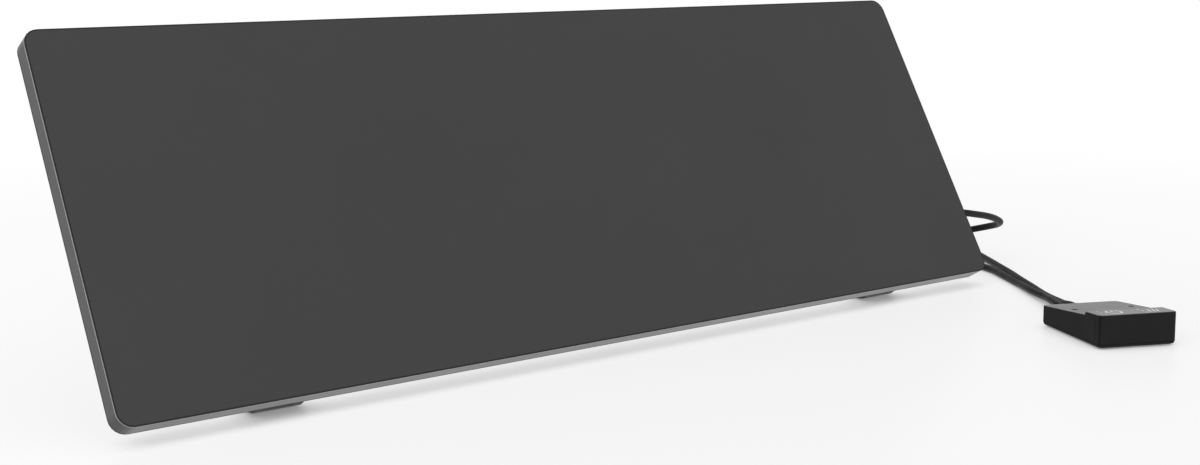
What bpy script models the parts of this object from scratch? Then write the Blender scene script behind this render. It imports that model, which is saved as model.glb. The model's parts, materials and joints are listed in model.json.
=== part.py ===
"""Under desk radiant heater panel with two folding feet, a wired control box and a mains lead.

Metres, +Z up. The panel leans back on its feet, its face looks along -Y and its long side runs along X.
"""

import math

import bmesh
import bpy
from mathutils import Matrix, Vector

MM = 0.001

# general clearances and steps
GAP = 0.3 * MM
OVERRUN = 2.0 * MM
JOIN_DEPTH = 1.0 * MM
WELD = 0.001 * MM
CORNER_STEPS = 6
TURN_STEPS = 24
HOLE_STEPS = 24
SMALL_HOLE_STEPS = 12

# panel body, in the panel's own frame: X along it, Y from its face to its back, Z up its face
PANEL_WIDTH = 900 * MM
PANEL_HEIGHT = 301 * MM
PANEL_DEPTH = 17 * MM
PANEL_CORNER = 12 * MM
PANEL_SHEET = 0.8 * MM
PANEL_LEAN = math.radians(30)
PANEL_EDGE_Y = 45.65 * MM
FRONT_FOLD = 0.3 * MM
BACK_FOLD = 0.3 * MM
FLANGE_WIDTH = 10 * MM

# heating layers
SPREADER_INSET = 4 * MM
SPREADER_THICK = 0.5 * MM
CABLE_DIAMETER = 3 * MM
CABLE_RUNS = 10
CABLE_PITCH = 25 * MM
CABLE_FIRST_Z = 35 * MM
CABLE_END_SPACE = 50 * MM
CABLE_RETURN_SPACE = 12.5 * MM
CABLE_RETURN_END_Z = 85 * MM
CABLE_BEND_STEPS = 6
INSULATION_INSET = 6 * MM

# thermal cut-outs and sensor: how far each lies from the panel's right end, and the cable run below it
CUTOUT_PLACES = ((110 * MM, 2), (650 * MM, 5))
CUTOUT_RADIUS = 8 * MM
CUTOUT_BASE = 4 * MM
CUTOUT_CAP_RADIUS = 6 * MM
CUTOUT_CAP = 4 * MM
CUTOUT_CHAMFER = 0.6 * MM
SENSOR_SPACE = 300 * MM
SENSOR_RUN = 3
SENSOR_RADIUS = 2.5 * MM
SENSOR_LENGTH = 20 * MM

# rear cover
COVER_INSET = 3 * MM
COVER_SHEET = 0.6 * MM
BEAD_END_SPACE = 150 * MM
BEAD_WIDTH = 12 * MM
BEAD_HEIGHT = 2 * MM
BEAD_SLOPE = 2 * MM
BEAD_PLACES = (130 * MM, 190 * MM, 250 * MM)
WIRE_HOLE_RADIUS = 5 * MM
WIRE_HOLE_RISE = 13 * MM

# terminal cover, terminal block and strain relief on the panel's back
TERMINAL_SPACE = 70 * MM
TERMINAL_Z = 72 * MM
TERMINAL_WIDTH = 60 * MM
TERMINAL_HEIGHT = 55 * MM
TERMINAL_DEPTH = 18 * MM
TERMINAL_WALL = 2 * MM
TERMINAL_CORNER = 4 * MM
TERMINAL_FOLD = 1 * MM
BLOCK_SHIFT = 6 * MM
BLOCK_WIDTH = 36 * MM
BLOCK_HEIGHT = 20 * MM
BLOCK_DEPTH = 11 * MM
BLOCK_WAYS = 3
BLOCK_PITCH = 6 * MM
BLOCK_WIRE_RADIUS = 1.6 * MM
BLOCK_WIRE_DEPTH = 4 * MM
BLOCK_SCREW_RADIUS = 2.2 * MM
BLOCK_SCREW_DEPTH = 5 * MM
GLAND_HEIGHT = 8.1 * MM
GLAND_FLANGE_RADIUS = 7 * MM
GLAND_FLANGE = 3 * MM
GLAND_NECK_RADIUS = 4.8 * MM
GLAND_COLLAR_RADIUS = 6.5 * MM
GLAND_COLLAR = 3 * MM
GLAND_ROOT_RADIUS = 6 * MM
GLAND_TIP_RADIUS = 4.4 * MM
GLAND_LENGTH = 26.7 * MM
GROOVE_DEPTH = 0.8 * MM
GROOVE_COUNT = 3

# folding feet; lengths are from the hinge pin
FOOT_SPACE = 131 * MM
PIN_BACK = 29 * MM
PIN_UP = 7.5 * MM
PIN_HEIGHT = 7.5 * MM
PIN_RADIUS = 2.35 * MM
PIN_HEAD_RADIUS = 4.5 * MM
PIN_HEAD = 3 * MM
PIN_TAIL = 0.5 * MM
BRACKET_WIDTH = 60 * MM
BRACKET_LOW = 3 * MM
BRACKET_HIGH = 55 * MM
BRACKET_SHEET = 2.5 * MM
BRACKET_CORNER = 4 * MM
LUG_WIDTH = 20 * MM
LUG_ROOT = 13 * MM
KNUCKLE_RADIUS = 6.5 * MM
LEG_WIDTH = 42 * MM
LEG_REACH = 142.2 * MM
LEG_TOP = 3.5 * MM
LEG_END_TOP = -1.5 * MM
LEG_END_ROUND = 1.3 * MM
LEG_EDGE = 2 * MM
LEG_SLOT_DEPTH = 9 * MM
HEEL_DROP = 5 * MM
HEEL_STOP = math.radians(150)
ARC_STEP = math.radians(15)
POCKET_FIRST = 23 * MM
POCKET_SPACE = 5 * MM
POCKET_COUNT = 3
POCKET_RIB = 2 * MM
POCKET_WALL = 2.5 * MM
POCKET_DEPTH = 3.5 * MM
FOOT_PAD_WIDTH = 34 * MM
FOOT_PAD_LENGTH = 13.5 * MM
FOOT_PAD_FRONT = 4.5 * MM
FOOT_PAD_END = 4.5 * MM
PAD_PROUD = 1 * MM
PAD_SET = 1 * MM
PAD_CHAMFER = 0.4 * MM

# control box, in its own frame: X along its front edge, Y to its back, Z up from the floor
CONTROL_X = 304.4 * MM
CONTROL_Y = -188.3 * MM
CONTROL_TURN = math.radians(-24.13)
CONTROL_WIDTH = 73.5 * MM
CONTROL_DEPTH = 97.8 * MM
CONTROL_FRONT = 29.3 * MM
CONTROL_SLOPE_SHARE = 0.098
CONTROL_CORNER = 5 * MM
CONTROL_EDGE = 1 * MM
CONTROL_BOTTOM_ROUND = 3 * MM
CONTROL_FLOOR = 1 * MM
CONTROL_WALL = 2 * MM
CONTROL_PLATE = 1.6 * MM
CONTROL_ROOF = 2.2 * MM
LIP_DEPTH = 23.2 * MM
LIP_RISE = 1.54 * MM
LIP_SLOPE_SHARE = 0.048
LIP_CHAMFER = 1.2 * MM
CUT_HEIGHT = 10 * MM
BORE_INSET = 9.3 * MM
BORE_BACK = 57.3 * MM
BORE_RADIUS = 2.75 * MM
POST_RADIUS = 5 * MM
STANDOFF_RADIUS = 2.5 * MM
STANDOFF_INSET = 4 * MM
BOARD_INSET = 5 * MM
BOARD_FRONT = 8 * MM
BOARD_POST_SPACE = 1.3 * MM
BOARD_THICK = 1.6 * MM
BOARD_LIFT = 1.5 * MM
RELAY_SIZE = (15 * MM, 19 * MM, 10 * MM)
RELAY_PLACE = (8 * MM, 30 * MM)
MODULE_SIZE = (34 * MM, 20 * MM, 9 * MM)
MODULE_PLACE = (30 * MM, 29 * MM)
COMPONENT_CORNER = 1 * MM
TOUCH_INSET = 6 * MM
TOUCH_FRONT = 4 * MM
TOUCH_LENGTH = 17 * MM
TOUCH_THICK = 1 * MM
BOX_PAD_WIDTH = 8 * MM
BOX_PAD_LENGTH = 40 * MM
BOX_PAD_INSET = 6 * MM
BOX_PAD_FRONT = 12 * MM
BOX_PAD_SET = 0.4 * MM

# cord bushes at the back of the control box
BUSH_PLACES = (36 * MM, 47 * MM)
BUSH_HEIGHT = 9 * MM
BUSH_FLANGE_RADIUS = 4.7 * MM
BUSH_FLANGE = 1.7 * MM
BUSH_NECK_RADIUS = 3.8 * MM
BUSH_COLLAR_RADIUS = 5 * MM
BUSH_COLLAR = 1.7 * MM
BUSH_ROOT_RADIUS = 4.8 * MM
BUSH_TIP_RADIUS = 4.1 * MM
BUSH_LENGTH = 20 * MM

# cords
CORD_DIAMETER = 7 * MM
CORD_STEP = 15 * MM
CORD_SAMPLES = 40
CORD_BEVEL_RESOLUTION = 2
COIL_BEVEL_RESOLUTION = 1
COIL_STEPS = 24
COIL_PITCH = 7.65 * MM
SELF_GAP_REACH = 4
TIE_THICK = 1.2 * MM
TIE_WIDTH = 8 * MM
TIE_GAP = 0.4 * MM
TIE_SIDE_GAP = 1 * MM
TIE_CORNER = 3 * MM
PANEL_COIL_X = 398 * MM
PANEL_COIL_Y = 191 * MM
PANEL_COIL_INNER = 31 * MM
PANEL_COIL_TURNS = 3.5
MAINS_COIL_X = 240 * MM
MAINS_COIL_Y = 196 * MM
MAINS_COIL_INNER = 28 * MM
MAINS_COIL_TURNS = 5.0
COIL_START = math.radians(90)
TIE_ANGLE = math.radians(180)

# route of the panel lead from the strain relief round its free loop to its coil: X, Y, Z in millimetres
LOOP_ROUTE = (
    (466.0, 104.8, 63.3),
    (485.5, 104.9, 60.9),
    (502.1, 105.6, 57.8),
    (517.1, 107.2, 54.9),
    (529.5, 109.2, 52.0),
    (544.3, 112.9, 47.7),
    (559.7, 119.4, 42.0),
    (569.4, 131.9, 36.6),
    (572.1, 142.6, 33.3),
    (571.8, 150.4, 31.0),
    (569.1, 159.1, 28.5),
    (564.0, 167.0, 26.2),
    (553.0, 174.6, 23.0),
    (537.0, 179.3, 19.4),
    (512.0, 185.0, 14.0),
    (480.0, 202.0, 7.6),
    (447.0, 222.0, 4.6),
)

# route of the panel lead on the floor from its coil to the control box
PANEL_IN_ROUTE = (
    (436.0, 147.0, 9.5),
    (468.0, 146.0, 5.0),
    (489.0, 139.0, 3.8),
    (504.0, 122.0, 3.6),
    (507.5, 104.0, 3.6),
    (503.0, 86.9, 3.6),
    (485.0, 53.9, 3.6),
    (465.7, 22.1, 3.6),
    (461.0, 14.9, 4.0),
    (443.9, -10.2, 4.7),
    (432.3, -28.4, 5.5),
    (422.9, -43.7, 6.3),
    (402.0, -70.0, 8.4),
)

# route of the mains lead on the floor from the control box to its coil behind the panel
MAINS_ROUTE = (
    (409.9, -75.4, 6.5),
    (420.7, -61.4, 4.8),
    (429.9, -46.7, 4.0),
    (439.3, -31.6, 3.6),
    (463.6, 3.9, 3.6),
    (482.3, 31.7, 3.6),
    (496.0, 50.9, 3.6),
    (521.0, 88.9, 3.6),
    (545.0, 125.9, 3.6),
    (569.0, 164.0, 3.6),
    (585.0, 190.9, 3.6),
    (592.6, 217.4, 3.6),
    (585.9, 242.4, 3.6),
    (567.6, 260.7, 3.6),
    (542.6, 267.4, 3.6),
    (480.0, 266.0, 3.6),
    (400.0, 262.0, 3.6),
    (330.0, 252.0, 3.8),
    (285.0, 246.5, 4.5),
)

# route of the mains lead from its coil to the plug
TAIL_ROUTE = (
    (212.0, 243.0, 13.6),
    (190.0, 243.0, 16.2),
)

# plug, its axis level with the floor
PLUG_X = 168 * MM
PLUG_Y = 243 * MM
PLUG_RADIUS = 18 * MM
PLUG_TIP_RADIUS = 4.6 * MM
PLUG_ROOT_RADIUS = 7.5 * MM
PLUG_RELIEF = 22 * MM
PLUG_SHOULDER = 10 * MM
PLUG_GRIP = 22 * MM
PLUG_FOLD = 1.5 * MM
PLUG_LIFT = 0.1 * MM
PLUG_PIN_RADIUS = 2.4 * MM
PLUG_PIN_LENGTH = 19 * MM
PLUG_PIN_SPACE = 19 * MM
PLUG_PIN_TIP = 1.2 * MM

# derived places
CABLE_HALF_RUN = PANEL_WIDTH / 2 - CABLE_END_SPACE
BEAD_LENGTH = PANEL_WIDTH - 2 * BEAD_END_SPACE
SENSOR_X = PANEL_WIDTH / 2 - SENSOR_SPACE
TERMINAL_X = PANEL_WIDTH / 2 - TERMINAL_SPACE
WIRE_HOLE_X = TERMINAL_X
WIRE_HOLE_Z = TERMINAL_Z + WIRE_HOLE_RISE
BLOCK_X = TERMINAL_X - BLOCK_SHIFT
FOOT_X = PANEL_WIDTH / 2 - FOOT_SPACE
FOOT_PAD_REAR = LEG_REACH - FOOT_PAD_END - FOOT_PAD_LENGTH
POCKET_LAST = FOOT_PAD_REAR - POCKET_SPACE
PIN_DROP = PIN_UP * math.cos(PANEL_LEAN) - PIN_BACK * math.sin(PANEL_LEAN)
PANEL_EDGE_Z = PIN_HEIGHT - PIN_DROP
PIN_Y = PANEL_EDGE_Y + PIN_UP * math.sin(PANEL_LEAN) + PIN_BACK * math.cos(PANEL_LEAN)
SPREADER_FRONT = PANEL_SHEET + GAP
CABLE_FRONT = SPREADER_FRONT + SPREADER_THICK + GAP
CABLE_RADIUS = CABLE_DIAMETER / 2
INSULATION_FRONT = CABLE_FRONT + CABLE_DIAMETER + GAP
INSULATION_BACK = PANEL_DEPTH - PANEL_SHEET - GAP
COVER_FRONT = PANEL_DEPTH + GAP
COVER_BACK = COVER_FRONT + COVER_SHEET
FITTING_FRONT = COVER_BACK + GAP
BRACKET_BACK = FITTING_FRONT + BRACKET_SHEET
STOP_REACH = PIN_BACK - BRACKET_BACK - GAP
ARM_INNER = LUG_WIDTH / 2 + GAP
LEG_HALF = LEG_WIDTH / 2
CORD_RADIUS = CORD_DIAMETER / 2
COIL_LOW = CORD_RADIUS + TIE_THICK + TIE_GAP
COIL_HIGH = COIL_LOW + COIL_PITCH
RECESS_FRONT = CONTROL_FRONT - LIP_RISE
ROOF_FRONT = RECESS_FRONT - CONTROL_ROOF
STEP_RISE = LIP_RISE + (CONTROL_SLOPE_SHARE - LIP_SLOPE_SHARE) * LIP_DEPTH
POST_TOP = RECESS_FRONT - CONTROL_SLOPE_SHARE * BORE_BACK - CONTROL_ROOF / 2
CONTROL_SPLIT = CONTROL_FLOOR + CONTROL_BOTTOM_ROUND
CONTROL_TRAY = CONTROL_FLOOR + CONTROL_PLATE
BOARD_LENGTH = BORE_BACK - POST_RADIUS - BOARD_POST_SPACE - BOARD_FRONT

# sheet and plastic colours as linear red, green and blue, then roughness and metallic share
PAINTS = {
    "charcoal_paint": ((0.060, 0.061, 0.064), 0.62, 0.0),
    "rear_steel": ((0.045, 0.046, 0.048), 0.55, 0.3),
    "foil": ((0.62, 0.62, 0.63), 0.30, 1.0),
    "silicone": ((0.40, 0.06, 0.04), 0.55, 0.0),
    "insulation": ((0.55, 0.53, 0.46), 0.95, 0.0),
    "cutout_steel": ((0.45, 0.45, 0.45), 0.35, 1.0),
    "black_plastic": ((0.022, 0.022, 0.023), 0.55, 0.0),
    "foot_plastic": ((0.020, 0.020, 0.021), 0.60, 0.0),
    "white_plastic": ((0.62, 0.62, 0.60), 0.50, 0.0),
    "pin_steel": ((0.40, 0.40, 0.41), 0.35, 1.0),
    "rubber": ((0.015, 0.015, 0.015), 0.85, 0.0),
    "cord_black": ((0.018, 0.018, 0.019), 0.50, 0.0),
    "board_green": ((0.03, 0.14, 0.05), 0.45, 0.0),
    "relay_blue": ((0.05, 0.12, 0.35), 0.45, 0.0),
    "nickel": ((0.60, 0.58, 0.54), 0.28, 1.0),
}


def clear_scene():
    for old in list(bpy.data.objects):
        bpy.data.objects.remove(old, do_unlink=True)


def paint(name):
    """The Principled material of this name, made on its first use."""
    found = bpy.data.materials.get(name)
    if found:
        return found
    colour, roughness, metallic = PAINTS[name]
    material = bpy.data.materials.new(name)
    material.use_nodes = True
    shader = material.node_tree.nodes["Principled BSDF"]
    shader.inputs["Base Color"].default_value = (*colour, 1.0)
    shader.inputs["Roughness"].default_value = roughness
    shader.inputs["Metallic"].default_value = metallic
    return material


def frame_empty(name, place, turn):
    empty = bpy.data.objects.new(name, None)
    empty.location = place
    empty.rotation_euler = turn
    bpy.context.scene.collection.objects.link(empty)
    return empty


def link_object(name, data, parent, place):
    thing = bpy.data.objects.new(name, data)
    thing.location = place
    thing.parent = parent
    bpy.context.scene.collection.objects.link(thing)
    return thing


def add_body(name, bm, material, parent=None, place=(0, 0, 0)):
    """Links a closed mesh as one named piece with its material, and smooths its round faces."""
    bmesh.ops.recalc_face_normals(bm, faces=bm.faces)
    mesh = bpy.data.meshes.new(name)
    bm.to_mesh(mesh)
    bm.free()
    mesh.materials.append(paint(material))
    mesh.shade_smooth()
    mesh.set_sharp_from_angle(angle=math.radians(35))
    return link_object(name, mesh, parent, place)


def boolean(target, name, bms, operation, place=None):
    """Cuts or joins the closed meshes with the target, through one hidden wire object beside it."""
    merged = bmesh.new()
    for bm in bms:
        bmesh.ops.recalc_face_normals(bm, faces=bm.faces)
        scrap = bpy.data.meshes.new(name)
        bm.to_mesh(scrap)
        bm.free()
        merged.from_mesh(scrap)
        bpy.data.meshes.remove(scrap)
    mesh = bpy.data.meshes.new(name)
    merged.to_mesh(mesh)
    merged.free()
    tool = link_object(name, mesh, target.parent, target.location if place is None else place)
    tool.hide_render = True
    tool.display_type = "WIRE"
    modifier = target.modifiers.new(name, "BOOLEAN")
    modifier.operation = operation
    modifier.object = tool
    modifier.solver = "EXACT"


def skin(rings, closed=False):
    """The surface extruded from ring to ring, either capped at both ends or closed on itself."""
    bm = bmesh.new()
    ring = [bm.verts.new(point) for point in rings[0]]
    edges = [bm.edges.new(pair) for pair in zip(ring, ring[1:] + ring[:1])]
    if not closed:
        bm.faces.new(ring)
    for points in [*rings[1:], rings[0]] if closed else rings[1:]:
        grown = bmesh.ops.extrude_edge_only(bm, edges=edges)["geom"]
        fresh = {item for item in grown if isinstance(item, bmesh.types.BMVert)}
        ring = [next(new for new in neighbours(vert) if new in fresh) for vert in ring]
        for vert, point in zip(ring, points):
            vert.co = point
        edges = [bm.edges.get(pair) for pair in zip(ring, ring[1:] + ring[:1])]
    if closed:
        bmesh.ops.remove_doubles(bm, verts=bm.verts, dist=WELD)
    else:
        bm.faces.new(ring)
    return bm


def neighbours(vert):
    return [edge.other_vert(vert) for edge in vert.link_edges]


def rounded_rectangle(width, height, radius, inset=0.0):
    """Corner points of a rounded rectangle about its centre, counter-clockwise, moved in by the inset."""
    points = []
    turn = max(radius - inset, WELD)
    for quarter in range(4):
        side_x = 1 if quarter in (0, 3) else -1
        side_y = 1 if quarter < 2 else -1
        centre_x = side_x * (width / 2 - inset - turn)
        centre_y = side_y * (height / 2 - inset - turn)
        for step in range(CORNER_STEPS + 1):
            angle = math.radians(90) * (quarter + step / CORNER_STEPS)
            points.append((centre_x + turn * math.cos(angle), centre_y + turn * math.sin(angle)))
    return points


def block(low, high):
    """A box between two corners."""
    bm = bmesh.new()
    low = Vector(low)
    high = Vector(high)
    place = Matrix.Translation((low + high) / 2)
    bmesh.ops.create_cube(bm, size=1, matrix=place @ Matrix.Diagonal((*(high - low), 1)))
    return bm


def rod(start, end, radius, steps=HOLE_STEPS):
    """A cylinder between two points."""
    bm = bmesh.new()
    start = Vector(start)
    end = Vector(end)
    turn = (end - start).to_track_quat("Z", "Y").to_matrix().to_4x4()
    bmesh.ops.create_cone(
        bm,
        cap_ends=True,
        segments=steps,
        radius1=radius,
        radius2=radius,
        depth=(end - start).length,
        matrix=Matrix.Translation((start + end) / 2) @ turn,
    )
    return bm


def turned(profile, axis, closed=False):
    """A body turned about an axis; a profile point is a place along the axis and a radius."""
    bm = bmesh.new()
    axis = Vector(axis)
    side = Vector((0, 0, -1))
    verts = [bm.verts.new(axis * along + side * radius) for along, radius in profile]
    pairs = list(zip(verts, verts[1:]))
    if closed:
        pairs.append((verts[-1], verts[0]))
    edges = [bm.edges.new(pair) for pair in pairs]
    bmesh.ops.spin(
        bm,
        geom=verts + edges,
        cent=(0, 0, 0),
        axis=axis,
        angle=math.tau,
        steps=TURN_STEPS,
        use_merge=True,
    )
    bmesh.ops.remove_doubles(bm, verts=bm.verts, dist=WELD)
    return bm


def tapered_relief(inner_flange, flange_radius, neck_end, neck_radius, collar, collar_radius, taper):
    """Profile of a strain relief from its inner flange to its tip; the outer wall face is at zero."""
    root_radius, tip_radius, length = taper
    profile = [
        (-neck_end - GAP - inner_flange, 0.0),
        (-neck_end - GAP - inner_flange, flange_radius),
        (-neck_end - GAP, flange_radius),
        (-neck_end - GAP, neck_radius),
        (GAP, neck_radius),
        (GAP, collar_radius),
        (GAP + collar, collar_radius),
        (GAP + collar, root_radius),
    ]
    cells = 2 * GROOVE_COUNT + 1
    for cell in range(1, cells):
        share = cell / cells
        along = GAP + collar + length * share
        radius = root_radius + (tip_radius - root_radius) * share
        if cell % 2:
            profile.append((along, radius))
            profile.append((along, radius - GROOVE_DEPTH))
        else:
            profile.append((along, radius - GROOVE_DEPTH))
            profile.append((along, radius))
    profile.append((GAP + collar + length, tip_radius))
    profile.append((GAP + collar + length, 0.0))
    return profile


def arc(centre, radius, first, last):
    """Points of an arc between two angles, both ends kept."""
    steps = max(1, round(abs(last - first) / ARC_STEP))
    angles = [first + (last - first) * step / steps for step in range(steps + 1)]
    return [(centre[0] + radius * math.cos(a), centre[1] + radius * math.sin(a)) for a in angles]


def tangent_angle(point, radius, side):
    """Angle on a circle about zero where the line from an outer point touches it."""
    heading = math.atan2(point[1], point[0])
    return heading + side * math.acos(radius / math.hypot(*point))


def inset_outline(points, distance):
    """The outline with every side moved inwards by the distance; it runs counter-clockwise."""
    moved = []
    count = len(points)
    for index in range(count):
        before = Vector(points[index - 1])
        here = Vector(points[index])
        after = Vector(points[(index + 1) % count])
        first = (here - before).normalized()
        second = (after - here).normalized()
        inward = Vector((-first.y - second.y, first.x + second.x)).normalized()
        reach = distance / max(inward.dot(Vector((-first.y, first.x))), 0.5)
        moved.append(tuple(here + inward * reach))
    return moved


# panel


def panel_ring(inset, depth):
    outline = rounded_rectangle(PANEL_WIDTH, PANEL_HEIGHT, PANEL_CORNER, inset)
    return [(x, depth, z + PANEL_HEIGHT / 2) for x, z in outline]


def front_shell(panel):
    """The folded pan: flat face, rounded front fold, side walls and the flange turned in at the back."""
    fold_share = 1 - math.sqrt(0.5)
    inner_back = PANEL_DEPTH - PANEL_SHEET
    rings = (
        panel_ring(FRONT_FOLD, 0.0),
        panel_ring(FRONT_FOLD * fold_share, FRONT_FOLD * fold_share),
        panel_ring(0.0, FRONT_FOLD),
        panel_ring(0.0, PANEL_DEPTH - BACK_FOLD),
        panel_ring(BACK_FOLD, PANEL_DEPTH),
        panel_ring(FLANGE_WIDTH, PANEL_DEPTH),
        panel_ring(FLANGE_WIDTH, inner_back),
        panel_ring(PANEL_SHEET, inner_back),
        panel_ring(PANEL_SHEET, PANEL_SHEET),
    )
    add_body("front_shell", skin(rings), "charcoal_paint", panel)


def heat_spreader(panel):
    rings = (
        panel_ring(SPREADER_INSET, SPREADER_FRONT),
        panel_ring(SPREADER_INSET, SPREADER_FRONT + SPREADER_THICK),
    )
    add_body("heat_spreader", skin(rings), "foil", panel)


def run_height(run):
    return CABLE_FIRST_Z + CABLE_PITCH * run


def heating_cable(panel):
    """Level runs joined by half-round bends, then a return beside them down to the terminals."""
    bend = CABLE_PITCH / 2
    depth = CABLE_FRONT + CABLE_RADIUS
    flat = [(CABLE_HALF_RUN, run_height(0))]
    for run in range(CABLE_RUNS - 1):
        side = 1 if run % 2 else -1
        centre = (side * CABLE_HALF_RUN, run_height(run) + bend)
        for step in range(CABLE_BEND_STEPS + 1):
            angle = math.pi * (step / CABLE_BEND_STEPS) - math.pi / 2
            flat.append((centre[0] + side * bend * math.cos(angle), centre[1] + bend * math.sin(angle)))
    corner_x = CABLE_HALF_RUN + CABLE_RETURN_SPACE
    corner_z = run_height(CABLE_RUNS - 1) - bend
    for step in range(CABLE_BEND_STEPS // 2 + 1):
        angle = math.pi / 2 - math.pi * step / CABLE_BEND_STEPS
        flat.append((corner_x + bend * math.cos(angle), corner_z + bend * math.sin(angle)))
    flat.append((corner_x + bend, CABLE_RETURN_END_Z))
    points = [Vector((x, depth, z)) for x, z in flat]
    add_tube("heating_cable", points, CABLE_RADIUS, "silicone", COIL_BEVEL_RESOLUTION, panel)


def between_runs(run):
    return run_height(run) + CABLE_PITCH / 2


def cutout_places():
    return [(PANEL_WIDTH / 2 - space, run) for space, run in CUTOUT_PLACES]


def insulation_board(panel):
    back = INSULATION_BACK
    rings = (panel_ring(INSULATION_INSET, INSULATION_FRONT), panel_ring(INSULATION_INSET, back))
    board = add_body("insulation_board", skin(rings), "insulation", panel)
    front = INSULATION_FRONT - OVERRUN
    holes = [
        rod((x, front, between_runs(run)), (x, back + OVERRUN, between_runs(run)), CUTOUT_RADIUS + GAP)
        for x, run in cutout_places()
    ]
    holes.append(
        rod(
            (WIRE_HOLE_X, front, WIRE_HOLE_Z),
            (WIRE_HOLE_X, back + OVERRUN, WIRE_HOLE_Z),
            WIRE_HOLE_RADIUS,
        )
    )
    half = SENSOR_LENGTH / 2 + GAP
    middle = between_runs(SENSOR_RUN)
    side = SENSOR_RADIUS + GAP
    holes.append(
        block(
            (SENSOR_X - half, front, middle - side),
            (SENSOR_X + half, back + OVERRUN, middle + side),
        )
    )
    boolean(board, "insulation_holes", holes, "DIFFERENCE")


def thermal_cutouts(panel):
    """Disc switches that press on the heat spreader through holes in the insulation."""
    profile = (
        (0.0, 0.0),
        (0.0, CUTOUT_RADIUS),
        (CUTOUT_BASE, CUTOUT_RADIUS),
        (CUTOUT_BASE, CUTOUT_CAP_RADIUS),
        (CUTOUT_BASE + CUTOUT_CAP - CUTOUT_CHAMFER, CUTOUT_CAP_RADIUS),
        (CUTOUT_BASE + CUTOUT_CAP, CUTOUT_CAP_RADIUS - CUTOUT_CHAMFER),
        (CUTOUT_BASE + CUTOUT_CAP, 0.0),
    )
    for number, (x, run) in enumerate(cutout_places(), 1):
        place = (x, CABLE_FRONT, between_runs(run))
        add_body(f"thermal_cutout_{number}", turned(profile, (0, 1, 0)), "cutout_steel", panel, place)


def temperature_sensor(panel):
    half = SENSOR_LENGTH / 2
    round_end = SENSOR_RADIUS / 2
    profile = (
        (-half, 0.0),
        (-half, SENSOR_RADIUS - round_end),
        (-half + round_end, SENSOR_RADIUS),
        (half, SENSOR_RADIUS),
        (half, 0.0),
    )
    place = (SENSOR_X, CABLE_FRONT + SENSOR_RADIUS, between_runs(SENSOR_RUN))
    add_body("temperature_sensor", turned(profile, (1, 0, 0)), "cutout_steel", panel, place)


def bead(inset, root, base, height):
    """A long rounded ridge with sloping sides, from its root up through the base plane to its crest."""
    foot = rounded_rectangle(BEAD_LENGTH, BEAD_WIDTH, BEAD_WIDTH / 2, inset)
    crest = rounded_rectangle(BEAD_LENGTH, BEAD_WIDTH, BEAD_WIDTH / 2, inset + BEAD_SLOPE)
    levels = ((foot, root), (foot, base), (crest, base + BEAD_HEIGHT))
    return skin([[(x, depth, z + height) for x, z in outline] for outline, depth in levels])


def rear_cover(panel):
    """The back sheet with pressed stiffening beads, open inside, and the hole for the wires."""
    rings = (panel_ring(COVER_INSET, COVER_FRONT), panel_ring(COVER_INSET, COVER_BACK))
    cover = add_body("rear_cover", skin(rings), "rear_steel", panel)
    middle = (COVER_FRONT + COVER_BACK) / 2
    outer = [bead(0.0, middle, COVER_BACK, height) for height in BEAD_PLACES]
    inner = [bead(COVER_SHEET, COVER_FRONT - OVERRUN, COVER_FRONT, height) for height in BEAD_PLACES]
    boolean(cover, "cover_beads", outer, "UNION")
    boolean(cover, "cover_bead_hollows", inner, "DIFFERENCE")
    hole = rod(
        (WIRE_HOLE_X, COVER_FRONT - OVERRUN, WIRE_HOLE_Z),
        (WIRE_HOLE_X, COVER_BACK + OVERRUN, WIRE_HOLE_Z),
        WIRE_HOLE_RADIUS,
    )
    boolean(cover, "cover_wire_hole", [hole], "DIFFERENCE")


def terminal_cover(panel):
    """Open-backed cover over the terminals with a hole in its right wall for the strain relief."""
    top = FITTING_FRONT + TERMINAL_DEPTH
    levels = (
        (TERMINAL_WALL, top - TERMINAL_WALL),
        (TERMINAL_WALL, FITTING_FRONT),
        (0.0, FITTING_FRONT),
        (0.0, top - TERMINAL_FOLD),
        (TERMINAL_FOLD, top),
    )
    rings = []
    for inset, depth in levels:
        outline = rounded_rectangle(TERMINAL_WIDTH, TERMINAL_HEIGHT, TERMINAL_CORNER, inset)
        rings.append([(x + TERMINAL_X, depth, z + TERMINAL_Z) for x, z in outline])
    cover = add_body("terminal_cover", skin(rings), "black_plastic", panel)
    wall = TERMINAL_X + TERMINAL_WIDTH / 2
    axis_y = FITTING_FRONT + GLAND_HEIGHT
    hole = rod(
        (wall - TERMINAL_WALL - OVERRUN, axis_y, TERMINAL_Z),
        (wall + OVERRUN, axis_y, TERMINAL_Z),
        GLAND_NECK_RADIUS + GAP,
    )
    boolean(cover, "terminal_cover_hole", [hole], "DIFFERENCE")


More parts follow.
